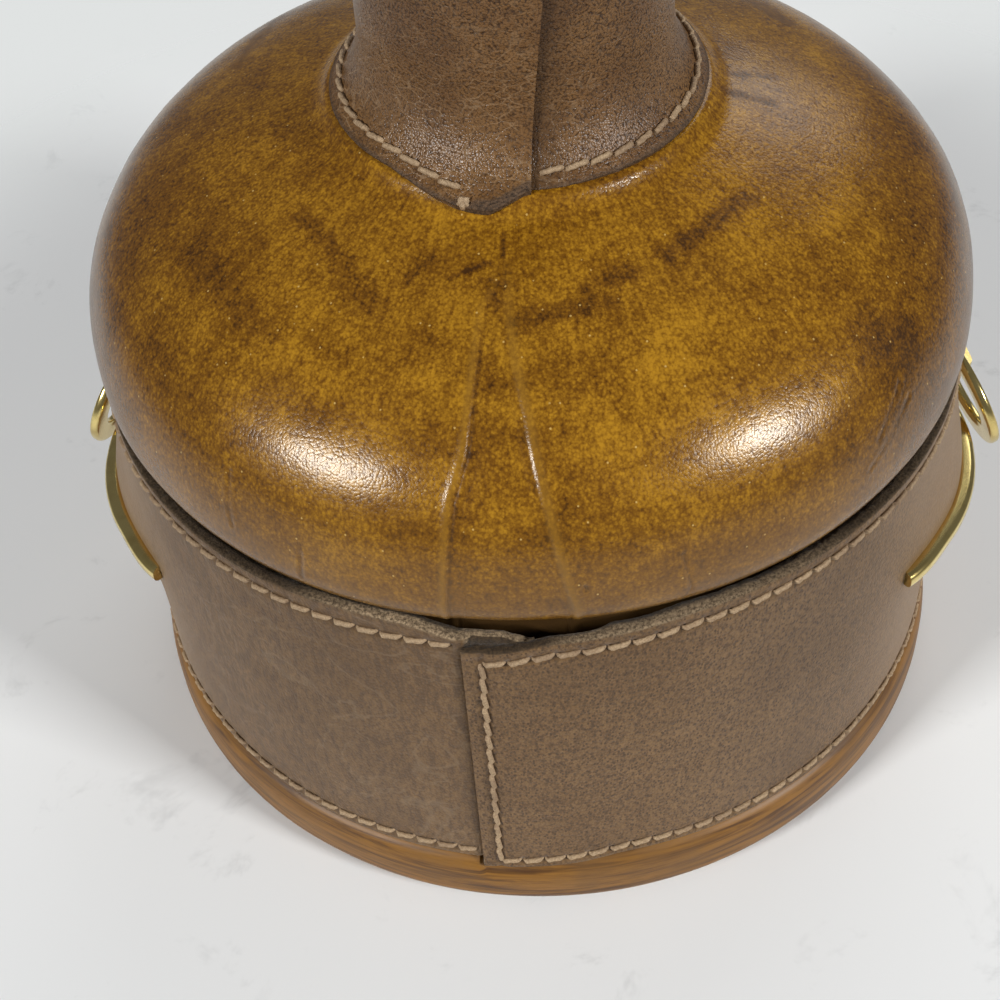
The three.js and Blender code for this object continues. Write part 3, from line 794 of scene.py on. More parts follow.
def make_sleeve_leather():
    """Brown pebbled leather with pale cracks, polished at the foot."""
    look = Look("sleeve_leather")
    place = look.place()
    raw = look.painted("raw")
    worn = look.painted("worn")
    wander = look.node("ShaderNodeTexNoise", None, {"Vector": place, "Scale": 0.5, "Detail": 2.0}, "Color")
    bent = look.node("ShaderNodeVectorMath", {"operation": "ADD"}, {0: place, 1: wander})
    pebbles = look.cells(bent, 3.0)
    fine = look.cells(place, 4.5)
    drawn = look.stretched(bent, (0.32, 0.32, 0.7))
    cracks = 1.0 - look.cells(drawn, 1.0, "DISTANCE_TO_EDGE").between(0.008, 0.06)
    cracks = cracks * look.noise(place, 0.2, 4.0, 0.6).between(0.38, 0.6)
    clouds = look.noise(place, 0.07, 4.0, 0.6)
    net = 1.0 - look.cells(bent, 0.9, "DISTANCE_TO_EDGE").between(0.02, 0.14)
    specks = look.noise(place, 1.1, 4.0, 0.7)
    fuzz = look.noise(place, 2.6, 4.0, 0.7)
    brown = look.layered(
        (0.200, 0.101, 0.034),
        (clouds.between(0.35, 0.7), (0.135, 0.063, 0.020)),
        (pebbles.between(0.35, 0.85) * (0.95 - worn * 0.3), (0.024, 0.010, 0.004)),
        (specks.between(0.46, 0.76) * 0.6, (0.040, 0.017, 0.006)),
        (net * 0.16, (0.250, 0.150, 0.075)),
        (cracks * (0.1 + worn * 0.5), (0.320, 0.205, 0.110)),
        (look.painted("shade") * 0.5, (0.030, 0.014, 0.006)),
        (raw, look.mixed(fuzz.between(0.3, 0.7), (0.020, 0.010, 0.004), (0.130, 0.074, 0.036))))
    grain = pebbles * pebbles * -1.5 - fine * 0.3 - cracks * 0.3 + specks * 0.5 + fuzz * raw
    shine = clouds * 0.2 + 0.29 - worn * 0.08 + raw * 0.4
    return look.done(
        base_color=brown, roughness=shine, normal=look.bumped(grain, 0.062, 0.9), specular_ior_level=0.4)


def make_thread():
    look = Look("waxed_thread")
    place = look.place()
    fibres = look.noise(place, 3.2, 4.0, 0.7)
    dirt = look.noise(place, 0.12, 3.0)
    beige = look.layered(
        (0.260, 0.168, 0.090),
        (fibres.between(0.3, 0.7), (0.480, 0.345, 0.205)),
        (dirt.between(0.45, 0.75) * 0.5, (0.170, 0.100, 0.055)))
    shine = fibres * 0.2 + 0.62
    return look.done(base_color=beige, roughness=shine, normal=look.bumped(fibres, 0.08, 0.8))


def make_brass():
    look = Look("polished_brass")
    place = look.place()
    tarnish = look.noise(place, 0.25, 4.0, 0.6)
    scratches = look.noise(look.stretched(place, (3.0, 3.0, 0.25)), 1.0, 3.0, 0.6)
    gold = look.mixed(tarnish.between(0.4, 0.75), (0.800, 0.640, 0.260), (0.660, 0.500, 0.180))
    shine = scratches * 0.1 + tarnish * 0.1 + 0.08
    return look.done(
        base_color=gold, metallic=1.0, roughness=shine, normal=look.bumped(scratches, 0.01, 0.4))


def make_glass():
    look = Look("clear_glass")
    swirls = look.noise(look.place(), 0.08, 2.0)
    return look.done(
        base_color=(0.93, 0.96, 0.94), roughness=0.02, transmission_weight=1.0, ior=1.5,
        normal=look.bumped(swirls, 0.05, 0.2))


def make_felt():
    look = Look("dark_felt")
    place = look.place()
    fibres = look.noise(place, 2.4, 5.0, 0.75)
    dark = look.mixed(fibres, (0.030, 0.022, 0.016), (0.085, 0.062, 0.046))
    return look.done(
        base_color=dark, roughness=0.95, normal=look.bumped(fibres, 0.2, 0.9), sheen_weight=0.3)


def make_cork():
    look = Look("natural_cork")
    place = look.place()
    grains = look.grey(look.cells(place, 0.55, output="Color"))
    pits = 1.0 - look.cells(place, 0.28).between(0.12, 0.32)
    tan = look.layered(
        (0.36, 0.215, 0.105),
        (grains, (0.52, 0.34, 0.18)),
        (pits * 0.8, (0.13, 0.066, 0.03)))
    relief = pits * -1.0 + grains * 0.3
    return look.done(base_color=tan, roughness=0.88, normal=look.bumped(relief, 0.25, 0.8))


def make_wood():
    look = Look("oiled_wood")
    place = look.place()
    growth = look.noise(look.stretched(place, (0.5, 0.05, 0.05)), 1.0, 5.0, 0.6, 1.2)
    fibres = look.noise(look.stretched(place, (2.5, 0.12, 0.12)), 1.0, 3.0)
    brown = look.layered(
        (0.23, 0.118, 0.05),
        (growth.between(0.35, 0.65), (0.105, 0.048, 0.02)),
        (fibres.between(0.5, 0.8) * 0.5, (0.06, 0.028, 0.012)))
    shine = fibres * 0.2 + 0.32
    return look.done(base_color=brown, roughness=shine, normal=look.bumped(fibres, 0.05, 0.5))


def make_floor_paint():
    """White paper that fades out toward the floor's edge."""
    look = Look("pale_floor")
    place = look.place()
    clouds = look.noise(place, 0.006, 3.0)
    scuffs = look.noise(place, 0.05, 5.0, 0.7, 0.5).between(0.58, 0.72)
    white = look.layered(
        (0.930, 0.940, 0.935),
        (clouds, (0.880, 0.895, 0.895)),
        (scuffs * 0.35, (0.560, 0.570, 0.570)))
    ends = {0: place, 1: FLOOR_MIDDLE}
    away = look.node("ShaderNodeVectorMath", {"operation": "DISTANCE"}, ends, "Value")
    finish = {"Base Color": white, "Roughness": 0.6, "Specular IOR Level": 0.3}
    paper = look.node("ShaderNodeBsdfPrincipled", None, finish)
    clear = look.node("ShaderNodeBsdfTransparent")
    faded = look.node("ShaderNodeMixShader", None, {0: away.between(*FLOOR_FADE), 1: paper, 2: clear})
    look.node("ShaderNodeOutputMaterial", None, {"Surface": faded})
    return look.owner


moulded_leather = make_moulded_leather()
rim_leather = make_rim_leather()
band_leather = make_band_leather()
sleeve_leather = make_sleeve_leather()
thread = make_thread()
brass = make_brass()
clear_glass = make_glass()
dark_felt = make_felt()
natural_cork = make_cork()
oiled_wood = make_wood()


# Shoulder


def shoulder_line():
    """Outside of the shoulder, from the skirt behind the band to the edge under the neck sleeve."""
    bulge = bezier(
        (WAIST_RADIUS, WAIST_HEIGHT),
        (WAIST_RADIUS + BULGE_FOOT[0], WAIST_HEIGHT + BULGE_FOOT[1]),
        (BODY_RADIUS, SHOULDER_HEIGHT - BULGE_SIDE_REACH),
        (BODY_RADIUS, SHOULDER_HEIGHT))
    dome = bezier(
        (BODY_RADIUS, SHOULDER_HEIGHT),
        (BODY_RADIUS, SHOULDER_HEIGHT + DOME_SIDE_REACH),
        (COLLAR_RADIUS + DOME_EDGE_REACH, COLLAR_HEIGHT - DOME_EDGE_SLOPE * DOME_EDGE_REACH),
        (COLLAR_RADIUS, COLLAR_HEIGHT))
    edge = (COVER_EDGE_RADIUS, shoulder_high.z)
    return [(WAIST_RADIUS, shoulder_low.z), *bulge, *dome[1:], edge]


SHOULDER_LINE = shoulder_line()


def on_shoulder(degrees, height):
    """The point of the shoulder at an angle and a height."""
    for (r0, z0), (r1, z1) in zip(SHOULDER_LINE, SHOULDER_LINE[1:]):
        if z0 <= height <= z1:
            return polar(r0 + (r1 - r0) * (height - z0) / (z1 - z0), degrees, height)
    return polar(COVER_EDGE_RADIUS, degrees, height)


def fold_places(degrees, radius, height):
    """How far a point lies inside the wedge's left and right edges, and how strong the wedge is there."""
    arc_length = math.radians(1) * radius
    inside_left = (degrees - along(FOLD_LEFT, height)) * arc_length
    inside_right = (along(FOLD_RIGHT, height) - degrees) * arc_length
    return inside_left, inside_right, between(*FOLD_START, height)


def fold_relief(degrees, radius, height):
    inside_left, inside_right, strength = fold_places(degrees, radius, height)
    if min(inside_left, inside_right) < -FOLD_REACH:
        return 0.0
    sunk = between(0.0, FOLD_SLOPE, inside_left) * between(0.0, FOLD_SLOPE, inside_right)
    left_away, left_width = FOLD_RIDGE_LEFT
    right_away, right_width = FOLD_RIDGE_RIGHT
    ridges = bell(inside_left + left_away, left_width) + bell(inside_right + right_away, right_width)
    crease_in, crease_width = FOLD_CREASE_PLACE
    creases = bell(inside_left - crease_in, crease_width) + bell(inside_right - crease_in, crease_width)
    return strength * (FOLD_RIDGE * ridges - FOLD_SINK * sunk - FOLD_CREASE * creases)


cut_strokes = [(on_shoulder(*a), on_shoulder(*b), depth) for a, b, depth in CUTS]
smudge_strokes = [(on_shoulder(*a), on_shoulder(*b), width, strength) for a, b, width, strength in SMUDGES]


def shoulder_relief(degrees, radius, height):
    """How far the shoulder stands out from its plain turned line."""
    here = polar(radius, degrees, height)
    relief = fold_relief(degrees, radius, height)
    for start, end, depth in cut_strokes:
        if (here - start).length < (end - start).length + CUT_REACH:
            away = distance_to_stroke(here, start, end)
            lip_away, lip_width = CUT_LIP_PLACE
            lip = CUT_LIP * bell(away - lip_away, lip_width)
            relief += depth * (lip - CUT_GROOVE * bell(away, CUT_WIDTH))
    relief -= GAP_DEPTH * between(*GAP_ENDS, height - WAIST_HEIGHT)
    relief += between(WAIST_HEIGHT, SHOULDER_HEIGHT, height) * waves(here, SHOULDER_WAVES)
    turn = max(COLLAR_TURN_RADIUS - radius, 0) / (COLLAR_TURN_RADIUS - FLARE_RADIUS)
    under_sleeve = between(COVER_EDGE_RADIUS + 1, FLARE_RADIUS - 0.6, radius)
    return relief + COLLAR_TURN * min(turn, 1) ** 2 * under_sleeve


def make_shoulder():
    outer = even(SHOULDER_LINE, SKIN_STEP)
    normals = outward(outer)
    inner = list(reversed(moved_out(even(SHOULDER_LINE, INSIDE_STEP), -JACKET_THICKNESS)))

    def section_at(degrees):
        lift = BULGE_SIDE_LIFT * between(*BULGE_LIFT_ENDS, abs(turned_by(degrees + 90)))
        skin = []
        for (r, z), (nr, nz) in zip(outer, normals):
            relief = shoulder_relief(degrees, r, z)
            lifted = z + lift * between(SHOULDER_HEIGHT, WAIST_HEIGHT, z)
            skin.append((r + nr * relief, lifted + nz * relief))
        return skin + inner

    cut_angles = [angle_of(end) for stroke in cut_strokes for end in stroke[:2]]
    angles = fine_near([*cut_angles, *FOLD_ANGLES], reach=1.6, fine=0.2, coarse=0.7)
    piece = new_piece(
        "moulded_shoulder", lathe(section_at, angles), moulded_leather,
        stands_for=["shoulder_cover"], crease=70)
    paint(piece, "stain_and_shade", stain_and_shade_at)
    paint(piece, "worn", ridge_wear_and_highlight_at)


def stain_and_shade_at(point):
    """How dark the leather is: rubbed smudges, painted shade along the wedge's creases and just inside its
    left edge, and dark lines along the cuts.
    """
    darkest = 0.0
    for start, end, width, strength in smudge_strokes:
        if (point - start).length < (end - start).length + 3 * width:
            away = distance_to_stroke(point, start, end) + width * 0.7 * ripple(point, 1.7)
            darkest = max(darkest, strength * between(1.5 * width, 0.2 * width, away))
    # painted shade: dark lines in the wedge's creases, and shade just inside its left edge
    inside_left, inside_right, strength = fold_places(angle_of(point), radius_of(point), point[2])
    if min(inside_left, inside_right) > -FOLD_SHADE_REACH:
        line = 0.6 * bell(inside_left - 0.3, 0.35) + 0.3 * bell(inside_right - 0.3, 0.4)
        shade = between(0, 0.5, inside_left) * between(4.5, 0.5, inside_left)
        darkest = max(darkest, strength * (line + 0.3 * shade))
    for start, end, depth in cut_strokes:
        if (point - start).length < (end - start).length + CUT_REACH:
            darkest = max(darkest, 2 * depth * bell(distance_to_stroke(point, start, end), CUT_WIDTH))
    return min(darkest, 1.0)


def ridge_wear_and_highlight_at(point):
    """How far the ridges beside the wedge are painted pale: their wear together with a painted highlight
    along them.
    """
    inside_left, inside_right, strength = fold_places(angle_of(point), radius_of(point), point[2])
    if min(inside_left, inside_right) < -FOLD_REACH:
        return 0.0
    return strength * max(bell(inside_left + 0.55, 0.5), bell(inside_right + 0.6, 0.75))


# Leather cup and its rim


def make_cup():
    wall_top = cup_high.z
    floor = cup_low.z
    inside = WAIST_RADIUS - JACKET_THICKNESS
    inside_corner = (inside - CUP_INSIDE_CORNER, floor + JACKET_THICKNESS + CUP_INSIDE_CORNER)
    recess_back = angle_of((plate_low.x, plate_low.y)) - PLATE_END_ROOM[0]
    recess_front = angle_of((plate_low.x, plate_high.y)) + PLATE_END_ROOM[1]
    recess_low = plate_low.z - PLATE_ROOM
    recess_high = plate_high.z + PLATE_ROOM

    def section_at(degrees):
        rim_top = band_low.z - SEAT_GAP - band_sag(past_flap(degrees))
        rim_radius = RIM_RADIUS + min(waves(polar(60, degrees, 0), [RIM_WAVE]), 0)
        roll = bezier(
            (rim_radius, floor + RIM_CORNER + RIM_STRAIGHT),
            (rim_radius, rim_top - RIM_ROLL[1]),
            (rim_radius - RIM_ROLL[0], rim_top),
            (WAIST_RADIUS, rim_top + SEAT_GAP), 18)
        by_plate = recess_back < from_side(degrees) < recess_front
        sunk = WAIST_RADIUS - PLATE_RECESS if by_plate else WAIST_RADIUS
        return [
            (0.0, floor),
            (RIM_RADIUS - RIM_CORNER, floor),
            *arc((rim_radius - RIM_CORNER, floor + RIM_CORNER), RIM_CORNER, -80, 0, 9),
            *roll,
            (WAIST_RADIUS, recess_low),
            (sunk, recess_low),
            (sunk, recess_high),
            (WAIST_RADIUS, recess_high),
            (WAIST_RADIUS, wall_top),
            (inside, wall_top),
            *arc(inside_corner, CUP_INSIDE_CORNER, 0, -90),
            (0.0, floor + JACKET_THICKNESS),
        ]

    new_piece(
        "leather_cup", lathe(section_at, all_round(400)), rim_leather,
        stands_for=["body_cover"])


def make_base_pad():
    edge = 0.25
    radius, top, bottom = pad_high.x, pad_high.z, pad_low.z
    section = [
        (0.0, bottom),
        (radius - edge, bottom),
        *arc((radius - edge, bottom + edge), edge, -90, 0, 3),
        *arc((radius - edge, top - edge), edge, 0, 90, 3),
        (0.0, top),
    ]
    new_piece("felt_pad", turned(section, 180), dark_felt, stands_for=["base_pad"])


# Band


def band_sag(past):
    """How far the lower edge of the band's upper end hangs down, by degrees from that end."""
    return FLAP_SAG_BOTTOM * between(FLAP_SAG_LENGTH, 0.0, past)


def past_flap(degrees):
    """Degrees from the edge of the band's upper end, along the band."""
    return (degrees - FLAP_EDGE) % 360


def plain_top(past):
    """Height of the upper edge without the lower end's own rise and fall."""
    rise = BAND_RISE * between(*BAND_RISE_ENDS, abs(turned_by(FLAP_EDGE + past + 90)))
    sag = FLAP_SAG * between(*FLAP_SAG_ENDS, past) + FLAP_DROP * between(*FLAP_DROP_ENDS, past)
    return band_high.z + rise - sag


def top_row(past):
    """Height of the upper row of stitches."""
    return plain_top(past) - TOP_ROW_INSET


def band_top(past):
    rise = LOWER_END_RISE * between(*LOWER_END_RISE_ENDS, past)
    tongue = TONGUE_SAG * between(*TONGUE_SAG_ENDS, past)
    tongue += TONGUE_END_SAG * between(TONGUE_END, 360 + TONGUE_LENGTH, past)
    return plain_top(past) + rise - tongue


def band_bottom(past):
    return band_low.z - band_sag(past)


def band_radius(past):
    """Outer radius of the strip by degrees from its upper end's edge."""
    proud = FLAP_PROUD * between(*FLAP_PROUD_ENDS, past)
    return BODY_RADIUS + proud - TONGUE_DIP * between(*TONGUE_PARING, past)


def side_swell(past, height):
    """How far the strip stands off beside the brass fittings, the same on both sides."""
    beside = from_side(FLAP_EDGE + past)
    around, up = SWELL_MIDDLE
    swell = SWELL * bell(beside - around, SWELL_SPREAD[0]) * bell(height - up, SWELL_SPREAD[1])
    return swell - SIDE_TUCK * bell(beside, SIDE_TUCK_SPREAD) * between(*SIDE_TUCK_HEIGHTS, height)


def band_thickness(past):
    if past > 180:
        return BAND_THICKNESS - (BAND_THICKNESS - TONGUE_THICKNESS) * between(*TONGUE_PARING, past)
    flap = FLAP_EDGE_THICKNESS + (FLAP_THICKNESS - FLAP_EDGE_THICKNESS) * between(0, FLAP_PARING, past)
    thickening = between(FLAP_LENGTH, FLAP_LENGTH + FLAP_THICKENING, past)
    return flap + (BAND_THICKNESS - FLAP_THICKNESS) * thickening


def stitch_dimple(along_row, off_row):
    """Depth of the leather under a row of stitches: a shallow groove with a hole between stitches."""
    from_hole = (along_row / STITCH_PITCH + 0.5) % 1 - 0.5
    hole = bell(from_hole * STITCH_PITCH, STITCH_HOLE_SIZE[0]) * bell(off_row, STITCH_HOLE_SIZE[1])
    return STITCH_GROOVE * bell(off_row, STITCH_GROOVE_WIDTH) + STITCH_HOLE * hole


def row_offsets(past, height):
    """Distances along and away from each of the band's stitch rows that run by a place."""
    around = math.radians(past - SEAM_ROW_INSET) * BODY_RADIUS
    rows = []
    if SEAM_ROW_INSET <= past <= TOP_ROW_END:
        rows.append((around, height - top_row(past)))
    if SEAM_ROW_INSET <= past <= BOTTOM_ROW_END:
        rows.append((around, height - (band_bottom(past) + BOTTOM_ROW_INSET)))
    if past < FLAP_LENGTH:
        row_bottom = band_bottom(SEAM_ROW_INSET) + BOTTOM_ROW_INSET
        rows.append((height - row_bottom, around))
    return rows


def band_relief(past, height):
    relief = waves(polar(BODY_RADIUS, past, height), BAND_WAVES)
    dimples = [stitch_dimple(*row) for row in row_offsets(past, height)]
    lip_in, lip_width = EDGE_LIP_PLACE
    lip = bell(height - band_top(past) + lip_in, lip_width)
    lip += bell(height - band_bottom(past) - lip_in, lip_width)
    return relief + EDGE_LIP * lip - max(dimples, default=0.0)


def ragged_edge(past):
    """How far the cut edge wanders from its even height."""
    (fine_depth, fine_size), (wide_depth, wide_size) = RAGGED
    fine = fine_depth * ripple(polar(BODY_RADIUS, past, 0), fine_size)
    return fine + wide_depth * ripple(polar(BODY_RADIUS, past, 40), wide_size)


def loose_fibres(past, row):
    """Fine unevenness of the cut edge, from -1 to 1, different in each row."""
    return ripple(polar(BODY_RADIUS, past, row), FIBRE_SIZE)


def band_section(past):
    """Loop of radius and height through the strip: up its face, over the cut edge and down its back."""
    outer_radius = band_radius(past)
    thickness = band_thickness(past)
    inside = outer_radius - thickness
    ragged = ragged_edge(past)
    curl_middle, curl_spread = TONGUE_CURL_PLACE
    curl = TONGUE_CURL * bell(past - curl_middle, curl_spread)
    top = band_top(past) + ragged
    bottom = band_bottom(past) + 0.5 * ragged
    edge = min(BAND_EDGE_ROUND, 0.42 * thickness)
    face = []
    for height in spaced(bottom + edge, top - edge, BAND_ROWS):
        lift = curl * between(top - TONGUE_CURL_HEIGHT, top, height) + side_swell(past, height)
        face.append((outer_radius + band_relief(past, height) + lift, height))
    lowest, outside = face[0][0], face[-1][0]
    crest = outside - edge - BAND_EDGE_FLAT * thickness
    behind = inside + side_swell(past, top)
    fall = BAND_EDGE_SLOPE * max(crest - behind, 0.1)
    cut = []
    for share in BAND_EDGE_ROWS:
        height = top + LEVEL_FIBRES * loose_fibres(past, 9 + 3 * share)
        cut.append((outside - edge - share * BAND_EDGE_FLAT * thickness, height))
    cut.append(((crest + behind) / 2, top - 0.5 * fall + SLOPE_FIBRES * loose_fibres(past, 17)))
    back_heights = (top - fall, *BAND_BACK_HEIGHTS, bottom + 0.1)
    return [
        *face,
        *arc((outside - edge, top - edge), edge, 15, 90, 4),
        *cut,
        *[(inside + side_swell(past, height), height) for height in back_heights],
        ((lowest - edge + inside) / 2, bottom),
        *arc((lowest - edge, bottom + edge), edge, -90, -15, 4),
    ]


def make_band():
    columns = stretches(0.0, (7.7, 0.2), (352.0, 0.42), (360 + TONGUE_LENGTH, 0.25))
    sections = [[polar(r, FLAP_EDGE + past, z) for r, z in band_section(past)] for past in columns]
    piece = new_piece(
        "stitched_band", loft(sections, closed=False), band_leather,
        stands_for=["body_band"], crease=55)
    paint(piece, "raw", band_rawness)
    paint(piece, "worn", lambda point: between(*BAND_WORN, past_flap(angle_of(point))))
    paint(piece, "groove", band_groove)
    paint(piece, "frayed", band_fraying)


def by_edges(low, high, height, full):
    """1 within that distance of a strip's lower or upper edge, 0 from half a millimetre on."""
    return max(between(high - 0.5, high - full, height), between(low + 0.5, low + full, height))


def band_rawness(point):
    """1 on the cut edges of the band and on the tongue's face behind the flap, 0 on the rest of its face.
    """
    radius = radius_of(point)
    past = past_flap(angle_of(point))
    top, bottom = band_top(past), band_bottom(past)
    if past < TONGUE_LENGTH and radius < band_radius(past) - band_thickness(past) - 0.05:
        top, bottom = band_top(past + 360), band_bottom(past + 360)
    face = band_radius(past) + side_swell(past, point[2])
    # the tongue's face behind the flap lies this deep too, so it is marked raw and painted dark as shadow
    by_depth = between(face - 0.75, face - 1.0, radius)
    return max(by_edges(bottom, top, point[2], 0.15), by_depth)


def band_fraying(point):
    """How pale and fuzzy the cut edge is: most at the lower end's lip, least at the upper end's corner; the
    edge's inner half and the tongue's face below its lip keep the dark raw colour as painted shade.
    """
    past = past_flap(angle_of(point))
    radius = radius_of(point)
    if past < TONGUE_LENGTH + 1 and radius < band_radius(past) - band_thickness(past) + 0.1:
        # painted shadow: the tongue's face below its lip stays dark
        lip = band_top(past + 360)
        return between(lip - 1.5, lip - 0.9, point[2])
    face = band_radius(past) + side_swell(past, point[2])
    # painted shade: the cut edge's inner half, toward the gap under the shoulder, stays dark
    outer_half = between(face - 2.0, face - 1.2, radius)
    upper_end = 0.7 * between(*UPPER_END_FRAY[0], past) * between(*UPPER_END_FRAY[1], past)
    lower_end = between(*LOWER_END_FRAY, past)
    return outer_half * max(upper_end, 0.12 * between(*SIDE_FRAY, past), lower_end)


def band_groove(point):
    """How near a point of the face lies to a row of stitches."""
    if radius_of(point) < BODY_RADIUS - 1:
        return 0.0
    rows = row_offsets(past_flap(angle_of(point)), point[2])
    return max((bell(off_row, 0.55) for _, off_row in rows), default=0.0)


# Stitches


def stitch(start, end, out, side):
    """One twisted stitch between two holes, bowed out of the leather and a little aslant."""
    rings, corners = 13, 10
    span = end - start
    sections = []
    for i in range(rings):
        t = i / (rings - 1)
        bow = min(math.sin(math.pi * t) * STITCH_STEEPNESS, 1.0)
        centre = start + span * (0.02 + 0.96 * t) + side * STITCH_SLANT * (t - 0.5) * 2
        centre = centre + out * (THREAD_RADIUS * (STITCH_BOW * bow - STITCH_SINK))
        thickness = THREAD_RADIUS * (0.8 + 0.2 * bow)
        section = []
        for k in range(corners):
            turn = 2 * math.pi * k / corners
            lobe = 0.8 + 0.25 * abs(math.cos(turn - STITCH_TWIST * math.pi * t))
            section.append(centre + (side * math.cos(turn) + out * math.sin(turn)) * thickness * lobe)
        sections.append(section)
    return loft(sections, closed=False)


def stitch_row(path, out_at):
    """Stitches of even length along a path of points, set on the leather's outside."""
    points = even([tuple(point) for point in path], STITCH_PITCH)
    shapes = []
    for start, end in zip(points, points[1:]):
        start, end = Vector(start), Vector(end)
        out = out_at((start + end) / 2)
        side = out.cross(end - start).normalized()
        shapes.append(stitch(start, end, out, side))
    return joined(shapes)


def new_stitches(name, shape, body="decanter", stands_for=()):
    new_piece(name + "_stitches", shape, thread, body, stands_for, crease=60)


def straight_out(point):
    return Vector((point[0], point[1], 0)).normalized()


def band_row_point(past, height):
    face = band_radius(past) + side_swell(past, height) + 0.5 * band_relief(past, height)
    return polar(face + ROW_LIFT, FLAP_EDGE + past, height)


def make_band_stitches():
    def path(end, height_at):
        return [band_row_point(past, height_at(past)) for past in spaced(SEAM_ROW_INSET, end, 700)]

    top = path(TOP_ROW_END, top_row)
    bottom = path(BOTTOM_ROW_END, lambda past: band_bottom(past) + BOTTOM_ROW_INSET)
    low = band_bottom(SEAM_ROW_INSET) + BOTTOM_ROW_INSET
    high = top_row(SEAM_ROW_INSET)
    seam = [band_row_point(SEAM_ROW_INSET, height) for height in spaced(low, high, 40)]
    for name, row in (("band_top", top), ("band_bottom", bottom), ("band_seam", seam)):
        new_stitches(name, stitch_row(row, straight_out), stands_for=[name + "_thread"])


# Neck sleeve


def sleeve_line(droop):
    """Outside of the sleeve from its flared foot up, with the foot reaching further down by droop."""
    flare = bezier(
        (FLARE_RADIUS, FLARE_BOTTOM),
        (FLARE_RADIUS - FLARE_FOOT[0], FLARE_BOTTOM + FLARE_FOOT[1]),
        (SLEEVE_RADIUS, FLARE_BOTTOM + FLARE_HEIGHT - FLARE_SIDE_REACH),
        (SLEEVE_RADIUS, FLARE_BOTTOM + FLARE_HEIGHT), 40)
    reach = math.hypot(*FLARE_FOOT)
    foot = (FLARE_RADIUS + droop * FLARE_FOOT[0] / reach, FLARE_BOTTOM - droop * FLARE_FOOT[1] / reach)
    return [foot, *flare, (SLEEVE_RADIUS, sleeve_high.z)]


def sleeve_droop(past):
    """The seam's upper end hangs lower than the foot elsewhere, and its corner is rounded off."""
    lowest = between(360 - FOOT_DROOP_LENGTH, 360 - 10, past)
    corner = 1 - FOOT_CORNER * between(FOOT_CORNER_START, 360, past)
    return FOOT_DROOP * lowest * corner + FOOT_LEAST_DROOP


def seam_angle(height):
    return SLEEVE_SEAM + SLEEVE_SEAM_LEAN * (height - FLARE_BOTTOM)


def sleeve_layers(past):
    """Outside and inside of the sleeve, from its plain outer line."""
    upper = between(360 - SLEEVE_STEP_LENGTH, 360, past)
    lower = between(SLEEVE_STEP_LENGTH, 0, past) if past < 180 else 0.0
    pared = between(360 - SLEEVE_OVERLAP - SLEEVE_PARING, 360 - SLEEVE_OVERLAP, past)
    outside = SLEEVE_STEP_UP * upper - SLEEVE_STEP_DOWN * lower
    inside = -SLEEVE_THICKNESS + (SLEEVE_THICKNESS - SLEEVE_END_THICKNESS) * pared
    return outside, inside


def sleeve_point(past, r, z):
    return polar(r, seam_angle(z) + past, z)


def sleeve_section(past):
    """Loop of radius and height through the sleeve: up its face and down its back."""
    outside, inside = sleeve_layers(past)
    line = even(sleeve_line(sleeve_droop(past)), None, SLEEVE_ROWS)
    outer = moved_out(line, outside)
    inner = moved_out(line, inside)
    pared = moved_out(line, max(outside - SLEEVE_EDGE_THICKNESS, inside))
    face = []
    for r, z in outer:
        row = bell(math.dist((r, z), outer[0]) - SLEEVE_FOOT_ROW, 0.7)
        face.append((r + waves(polar(r, past, z), SLEEVE_WAVES) - 0.15 * row, z))
    ragged = waves(polar(30, past, 0), [SLEEVE_RAGGED])
    face[0] = (face[0][0] - 0.2, face[0][1] + 0.1 + ragged)
    back = []
    for i in range(SLEEVE_ROWS, -1, -SLEEVE_BACK_STEP):
        share = between(0, FOOT_PARING, math.dist(line[i], line[0]))
        back.append(tuple(p + (q - p) * share for p, q in zip(pared[i], inner[i])))
    back.append((pared[0][0], pared[0][1] + ragged))
    return face + back


def make_sleeve():
    columns = stretches(-SLEEVE_OVERLAP, (10.5, 0.4), (345.0, 0.85), (360.0, 0.4))
    columns[-1] = 360.0
    sections = [[sleeve_point(past, r, z) for r, z in sleeve_section(past)] for past in columns]
    piece = new_piece(
        "pebbled_sleeve", loft(sections, closed=False), sleeve_leather,
        stands_for=["neck_sleeve"], crease=60)
    paint(piece, "raw", sleeve_rawness)
    paint(piece, "worn", sleeve_wear)
    paint(piece, "shade", lambda point: between(SEAM_SHADE, 0, past_seam(point)))


def past_seam(point):
    return (angle_of(point) - seam_angle(point[2])) % 360


def sleeve_wear(point):
    """How worn the sleeve is: toward its foot, and toward the back and the left."""
    return between(*SLEEVE_WORN_HEIGHTS, point[2]) * between(*SLEEVE_WORN_ANGLES, angle_of(point))


def sleeve_rawness(point):
    """1 on the sleeve's cut edges, most of all where the foot is frayed beside the seam."""
    past = past_seam(point)
    near = math.dist((radius_of(point), point[2]), sleeve_line(sleeve_droop(past))[0])
    frayed = 0.35 + 1.3 * between(*SLEEVE_FRAY, past)
    by_top = between(sleeve_high.z - 0.5, sleeve_high.z - 0.1, point[2])
    return max(between(frayed + 0.45, frayed, near), by_top)


def foot_point(past):
    """A point of the row of stitches round the sleeve's foot."""
    step = 0.5
    line = even(sleeve_line(sleeve_droop(past)), step)
    outside, _ = sleeve_layers(past)
    outer = moved_out(line, outside + 0.02)
    return sleeve_point(past, *outer[round(SLEEVE_FOOT_ROW / step)])


def foot_out(point):
    return (straight_out(point) + Vector((0, 0, 1.1))).normalized()


